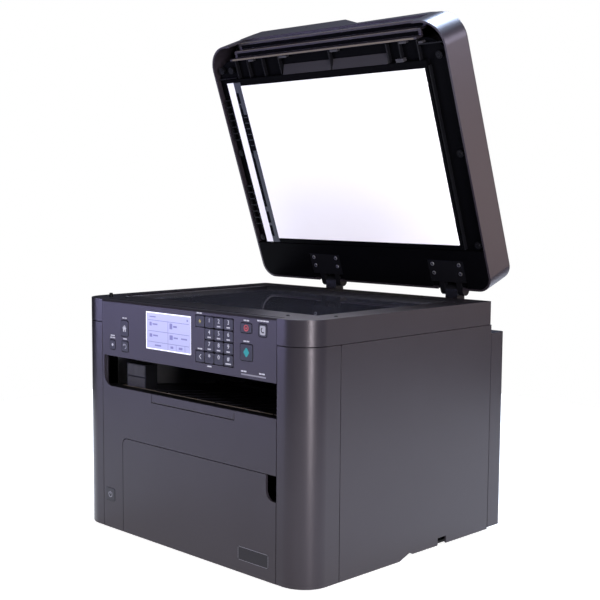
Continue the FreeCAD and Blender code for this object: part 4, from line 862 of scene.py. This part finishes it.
def screws(name, body, spots, axis, tall, lid=False, finish="screwSteel"):
    # flat heads with a raised black cross, painted shade standing in for the hollow cross; tall is
    # negative where they face down
    h = screwHead
    heads, crossShade = Maker(), Maker()
    reach, half = h["radius"] * h["reach"], h["radius"] * h["bar"]
    near, far = sorted((tall * h["from"], tall * h["to"]))
    for x, y, z in spots:
        lift = {"Y": (0, tall / 2, 0), "Z": (0, 0, tall / 2)}[axis]
        heads.rod(axis, Vector((x, y, z)) + Vector(lift), h["radius"], abs(tall), h["sides"])
        for wide, high in ((reach, half), (half, reach)):
            if axis == "Z":
                crossShade.box((x - wide, x + wide), (y - high, y + high), (z + near, z + far))
            else:
                crossShade.box((x - wide, x + wide), (y + near, y + far), (z - high, z + high))
    heads.done(name, body, "steel", finish, lid=lid, bevel=0.2)
    crossShade.done(name + "_slots", body, "steel", "shadeAndPrintBlack", lid=lid)


hingePlate = {"middles": (-70, 132), "reach": 20, "rows": (302, 314), "under": 292.8, "tall": 0.9}
h = hingePlate
screws("hinge_screws", "lid", [(x + side * h["reach"], y, h["under"]) for x in h["middles"]
                               for side in (-1, 1) for y in h["rows"]],
       "Z", -h["tall"], lid=True)
screwed = boss["spots"][:1] + boss["spots"][2:]
screws("lid_screws", "lid", [(x, y, boss["low"]) for x, y in screwed], "Z", -boss["screwTall"],
       lid=True, finish="hingeBlack")

# Slotted bar beside the backing sheet: each notch and the comb's slot drawn as a flat dark patch of
# painted shade, not a hollow; a comb of fine teeth and three stops.
guideBar = {"under": 291.3, "deep": 0.2, "x": (-160.2, -154.8), "combX": (-154.8, -148.4),
            "notchShade": ((64, 79), (86, 150), (157, 228), (235, 252), (256, 272)), "comb": (95, 146),
            "teethX": (-156.8, -149.2), "teethZ": (291.07, 291.2), "first": 98, "pitch": 8,
            "count": 6, "tooth": 1.2, "stopX": (-160.4, -158.4), "stopZ": (291.1, 291.4),
            "stops": (80, 151, 229), "stop": 5.4}
g = guideBar
notchShadeZ = (g["under"] - g["deep"], g["under"])
notchShade = Maker()
for y in g["notchShade"]:
    notchShade.box(g["x"], y, notchShadeZ)
notchShade.box(g["combX"], g["comb"], notchShadeZ)
notchShade.done("guide_bar_notch_shade", "lid", "guide_bar", "lidShadeBlack", lid=True)
teeth = Maker()
for index in range(g["count"]):
    y = g["first"] + index * g["pitch"]
    teeth.box(g["teethX"], (y, y + g["tooth"]), g["teethZ"])
for y in g["stops"]:
    teeth.box(g["stopX"], (y, y + g["stop"]), g["stopZ"])
teeth.done("guide_bar_teeth", "lid", "guide_bar", "slate", lid=True)

# Stepped grip along the front of the lid: front edge and level of each step, widths of its lines.
lidGrip = {"x": (-152, 152), "edges": ((2.6, 314.77, 0.5), (10.6, 303.53, 0.5), (18.7, 292.3, 1.9)),
           "edgeThick": 0.12, "shadeStart": 3.0, "shadeDeep": 4.8, "shadeThick": 0.06}
# The lines are painted highlights on the step edges; the dark strips behind the first two edges are
# painted shade.
gripHighlights, gripShade = Maker(), Maker()
for y, z, wide in lidGrip["edges"]:
    gripHighlights.box(lidGrip["x"], (y, y + wide), (z - lidGrip["edgeThick"], z))
for y, z, wide in lidGrip["edges"][:2]:
    start = y + lidGrip["shadeStart"]
    gripShade.box(lidGrip["x"], (start, start + lidGrip["shadeDeep"]),
                  (z - lidGrip["shadeThick"], z))
gripHighlights.done("lid_grip_edge_highlights", "lid", "housing", "brownEdgeHighlight", lid=True)
gripShade.done("lid_grip_shade", "lid", "black_inner", "lidShadeBlack", lid=True)
print("lid underside detailed")


# Back: screws, jam door, blank plates, contacts in the sockets.
backY = nodeBox("rear_panel")[1].y
rearScrews = {"corners": [(x, z) for x in (-184, 184) for z in (22, 240)],
              "door": [(-60, 46), (60, 46)], "tall": 0.9}
screws("rear_screws", "chassis", [(x, backY, z) for x, z in rearScrews["corners"]], "Y",
       rearScrews["tall"], finish="darkSteel")
screws("rear_door_screws", "chassis", [(x, backY, z) for x, z in rearScrews["door"]], "Y",
       rearScrews["tall"], finish="darkSteel")

jamDoor = {"half": 138, "ridges": (96, 104, 112, 120, 128), "ridge": 1.8, "sink": 0.1,
           "proud": 0.5, "recessZ": 208, "recessWide": 48, "recessTall": 17, "radius": 6,
           "recessProud": 0.08, "rim": 1.5, "rimProud": 0.9, "gripHalf": 22, "gripProud": 2.4,
           "gripRise": (4, 7)}
j = jamDoor
ridges = Maker()
for z in j["ridges"]:
    ridges.box((-j["half"], j["half"]), (backY - j["sink"], backY + j["proud"]),
               (z - j["ridge"] / 2, z + j["ridge"] / 2))
ridges.done("jam_door_ridges", "jam_door", "housing", "caseCharcoal", bevel=0.25)
# The grip's hollow is drawn as a flat dark patch of painted shade, inside a raised rim.
recessShape = (0, j["recessZ"], j["recessWide"], j["recessTall"], j["radius"])
recessShade = Maker().prism("XZ", rounded(*recessShape), backY, backY + j["recessProud"])
recessShade.done("jam_door_recess_shade", "jam_door", "black_inner", "innerBlack")
rim = Maker()
ring(rim, *recessShape, j["rim"], backY - j["sink"], backY + j["rimProud"])
rim.box((-j["gripHalf"], j["gripHalf"]), (backY, backY + j["gripProud"]),
        [j["recessZ"] + rise for rise in j["gripRise"]])
rim.done("jam_door_grip", "jam_door", "housing", "caseCharcoal", bevel=0.25)

# Blank plates, and bars in place of print on the wider one: height and number in each row.
rearPlates = {"wide": (20, 40, 84, 26, 2), "narrow": (-172, 110, 26, 44, 2), "proud": 0.08,
              "rows": ((48, 3), (43.5, 5), (39, 4), (34.5, 2)), "left": -14, "bar": 11.5,
              "pitch": 13.5, "tall": 1.2, "barY": (0.06, 0.1)}
plates = Maker()
for shape in (rearPlates["wide"], rearPlates["narrow"]):
    plates.prism("XZ", rounded(*shape), backY, backY + rearPlates["proud"])
plates.done("rear_plates", "chassis", "housing", "labelGrey")
plateBars = Maker()
for z, count in rearPlates["rows"]:
    for index in range(count):
        x = rearPlates["left"] + index * rearPlates["pitch"]
        plateBars.box((x, x + rearPlates["bar"]), [backY + y for y in rearPlates["barY"]],
                      (z - rearPlates["tall"] / 2, z + rearPlates["tall"] / 2))
plateBars.done("rear_plate_bars", "chassis", "housing", "shadeAndPrintBlack")

# Tongue and shell spring in each data socket: half width, reach from the back, height.
socket = {"middles": (120, 94), "deep": 16, "tongue": (4, 3, (33.4, 35.4)),
          "spring": (3.4, 4, (36.6, 37.2))}
contacts = Maker()
for x in socket["middles"]:
    for half, short, z in (socket["tongue"], socket["spring"]):
        contacts.box((x - half, x + half), (backY - socket["deep"], backY - short), z)
contacts.done("socket_contacts", "chassis", "steel", "screwSteel", bevel=0.15)
print("back detailed")


# Feeder on the lid: grip and arrow of the hood, ribs under the tray, ribs and marks on it.
hoodTop, trayTop, lidTop = 378.0, 361.0, 338.7
hoodGrip = {"x": (-158, -96), "first": 34, "pitch": 5, "count": 7, "wide": 1.6, "sink": 0.2,
            "proud": 0.5}
hood = Maker()
for index in range(hoodGrip["count"]):
    y = hoodGrip["first"] + index * hoodGrip["pitch"]
    hood.box(hoodGrip["x"], (y, y + hoodGrip["wide"]),
             (hoodTop - hoodGrip["sink"], hoodTop + hoodGrip["proud"]))
hood.done("hood_grip", "feeder_hood", "housing", "lidCharcoal", lid=True, bevel=0.3)
printProud = 0.06
hoodArrow = {"head": [(-127, 82), (-119, 82), (-123, 76)], "x": (-124, -122), "y": (82, 92)}
arrow = Maker().prism("XY", hoodArrow["head"], hoodTop, hoodTop + printProud)
arrow.box(hoodArrow["x"], hoodArrow["y"], (hoodTop, hoodTop + printProud))
arrow.done("hood_arrow", "feeder_hood", "housing", "printGrey", lid=True)

outputRib = {"first": 30, "pitch": 25, "count": 11, "thick": 1.6,
             "outline": [(-66, -0.3), (136, -0.3), (130, 1.2), (-60, 2.4)]}
outputRibs = Maker()
outline = [(x, lidTop + rise) for x, rise in outputRib["outline"]]
for index in range(outputRib["count"]):
    y = outputRib["first"] + index * outputRib["pitch"]
    outputRibs.prism("XZ", outline, y, y + outputRib["thick"])
outputRibs.done("feeder_output_ribs", "lid", "housing", "lidCharcoal", lid=True, bevel=0.25)

trayRib = {"rows": (52, 88, 124, 180, 216, 252), "x": ((-58, 4), (88, 152)), "wide": 2,
           "sink": 0.2, "proud": 0.6, "stopX": (154, 160), "stopY": (46, 259), "stopProud": 1.4}
t = trayRib
trayRibs = Maker()
for y in t["rows"]:
    for x in t["x"]:
        trayRibs.box(x, (y, y + t["wide"]), (trayTop - t["sink"], trayTop + t["proud"]))
trayRibs.box(t["stopX"], t["stopY"], (trayTop - t["sink"], trayTop + t["stopProud"]))
trayRibs.done("tray_ribs", "supply_tray", "housing", "caseCharcoal", lid=True, bevel=0.3)

trayMiddle = 152.5
trayMark = {"x": (84, 90), "rows": (44, 60, 76, 229, 245, 261), "wide": 0.8,
            "arrows": (-30, -18, -6), "arrowReach": 4, "arrowLong": 6}
trayMarks = Maker()
for y in trayMark["rows"]:
    trayMarks.box(trayMark["x"], (y - trayMark["wide"] / 2, y + trayMark["wide"] / 2),
                  (trayTop, trayTop + printProud))
for x in trayMark["arrows"]:
    trayMarks.prism("XY", [(x, trayMiddle - trayMark["arrowReach"]),
                           (x, trayMiddle + trayMark["arrowReach"]),
                           (x - trayMark["arrowLong"], trayMiddle)], trayTop, trayTop + printProud)
trayMarks.done("tray_marks", "supply_tray", "housing", "printGrey", lid=True)

guidePad = {"reach": 108, "thick": 0.5, "first": 20, "pitch": 12, "count": 5, "wide": 3,
            "rise": (3, 11)}
for place, side in (("front", 1), ("rear", -1)):
    wall = trayMiddle - side * guidePad["reach"]
    pads = Maker()
    for index in range(guidePad["count"]):
        x = guidePad["first"] + index * guidePad["pitch"]
        pads.box((x, x + guidePad["wide"]), sorted((wall, wall + side * guidePad["thick"])),
                 [trayTop + rise for rise in guidePad["rise"]])
    pads.done(f"document_guide_{place}_pads", "doc_guide_" + place, "housing", "tabGrey", lid=True,
              bevel=0.15)
print("feeder detailed")


# Inside and underneath: cartridge handle and plate, paper floor pads, ribs and screws of the pan.
tonerTop = nodeBox("toner_cartridge")[1].z
tonerHandle = {"body": [(58, 112), (63.5, 108), (63.5, 132), (58, 128)], "bodyHalf": 34,
               "lip": [(56, 116), (58, 115), (58, 125), (56, 124)], "lipHalf": 30}
toner = Maker()
for part in ("body", "lip"):
    half = tonerHandle[part + "Half"]
    toner.prism("YZ", tonerHandle[part], -half, half)
toner.done("toner_handle", "chassis", "guide_grey", "leverBlue", bevel=0.6)

plateThick = 0.06
tonerLabel = {"x": (-120, 120), "y": (80, 176), "barProud": 0.04,
              "bars": (((-110, 110), (96, 98)), ((-110, 60), (104, 105.5)))}
tonerPlate = Maker().box(tonerLabel["x"], tonerLabel["y"], (tonerTop, tonerTop + plateThick))
for x, y in tonerLabel["bars"]:
    tonerPlate.box(x, y, (tonerTop + plateThick, tonerTop + plateThick + tonerLabel["barProud"]))
tonerPlate.done("toner_plate", "chassis", "black_inner", "labelGrey")

floorPad = {"middles": (-62, 20, 102), "half": 12, "y": (110, 138), "thick": 0.16, "inset": 2,
            "topThick": 0.03}
panTop = nodeBox("base_pan")[1].z
f = floorPad
floorPads = Maker()
for x in f["middles"]:
    for inset, low, high in ((0, 0, f["thick"]), (f["inset"], f["thick"], f["thick"] + f["topThick"])):
        half = f["half"] - inset
        floorPads.box((x - half, x + half), (f["y"][0] + inset, f["y"][1] - inset),
                      (panTop + low, panTop + high))
floorPads.done("paper_floor_pads", "chassis", "rubber", "rubber")

panRib = {"rows": (80, 130, 180, 230, 280), "rowX": (-150, 150), "lines": (-150, -75, 0, 75, 150),
          "lineY": (70, 290), "thick": 1.6, "z": (2.6, 5.2)}
underRibs = Maker()
for y in panRib["rows"]:
    underRibs.box(panRib["rowX"], (y, y + panRib["thick"]), panRib["z"])
for x in panRib["lines"]:
    underRibs.box((x - panRib["thick"] / 2, x + panRib["thick"] / 2), panRib["lineY"], panRib["z"])
underRibs.done("pan_ribs", "chassis", "black_inner", "innerBlack", bevel=0.2)
panScrews = {"x": (-172, 172), "y": (90, 180, 270), "z": 5, "tall": 0.9}
screws("pan_screws", "chassis", [(x, y, panScrews["z"]) for x in panScrews["x"]
                                 for y in panScrews["y"]],
       "Z", -panScrews["tall"], finish="darkSteel")
print("inside detailed")


floorHalf = 1.0
corners = [(x * floorHalf, y * floorHalf, 0) for x, y in ((-1, -1), (1, -1), (1, 1), (-1, 1))]
floor = bpy.data.objects.new("floor", bpy.data.meshes.new("floor"))
floor.data.from_pydata(corners, [], [(0, 1, 2, 3)])
floor.data.materials.append(finishes["floorWhite"])
bpy.context.collection.objects.link(floor)

# The camera sees a white studio; what lights the object is dimmer, darkest at eye level.
sky = {"white": (1.0, 1.0, 1.0), "level": (0.010, 0.010, 0.014), "over": (0.22, 0.22, 0.25),
       "start": 0.13, "rise": 1.2}
world = bpy.data.worlds.new("studio")
bpy.context.scene.world = world
studio = Finish("studio", world)
height = studio.node("ShaderNodeSeparateXYZ", {}, {"Vector": studio.node(
    "ShaderNodeTexCoord", out="Generated")}, out="Z")
dim = studio.blend((height - sky["start"]) * sky["rise"], sky["level"], sky["over"])
seen = studio.node("ShaderNodeLightPath", out="Is Camera Ray")
studio.feed(studio.shader.inputs["Color"], studio.blend(seen, dim, sky["white"]))

# Softboxes: where each stands, what it looks at, its width and height, power and tint.
softboxes = {
    "columnStrip": ((1.85, -0.86, 0.55), (0.15, -0.15, 0.25), 0.12, 1.4, 60, (1.0, 0.96, 1.0)),
    "leftFront": ((-1.9, -2.1, 0.16), (0, -0.1, 0.06), 1.4, 0.34, 24, (0.56, 0.55, 1.0)),
    "rightBack": ((1.9, 2.2, 0.45), (0.15, 0, 0.2), 1.5, 0.9, 7, (1.0, 0.80, 0.70)),
    "lidSide": ((2.0, 1.9, 1.35), (0.2, 0.1, 0.5), 1.2, 0.7, 17, (0.86, 0.82, 1.0)),
    "rearTop": ((-0.05, 1.5, 2.5), (0.15, 0.2, 0.5), 1.2, 1.2, 150, (0.60, 0.74, 1.0)),
    "front": ((1.1, -2.8, 1.3), (0, 0.15, 0.5), 1.3, 0.9, 38, (1.0, 0.98, 0.94)),
    "above": ((-0.5, -0.4, 2.4), (0, 0, 0.2), 1.4, 1.4, 5, (1.0, 1.0, 1.0))}
for name, (spot, aim, wide, tall, power, tint) in softboxes.items():
    light = bpy.data.lights.new(name, "AREA")
    light.shape = "RECTANGLE"
    light.size, light.size_y, light.energy, light.color = wide, tall, power, tint
    lightObject = bpy.data.objects.new(name, light)
    lightObject.location = spot
    lightObject.rotation_euler = (Vector(aim) - Vector(spot)).to_track_quat("-Z", "Y").to_euler()
    bpy.context.collection.objects.link(lightObject)
print("stage ready")
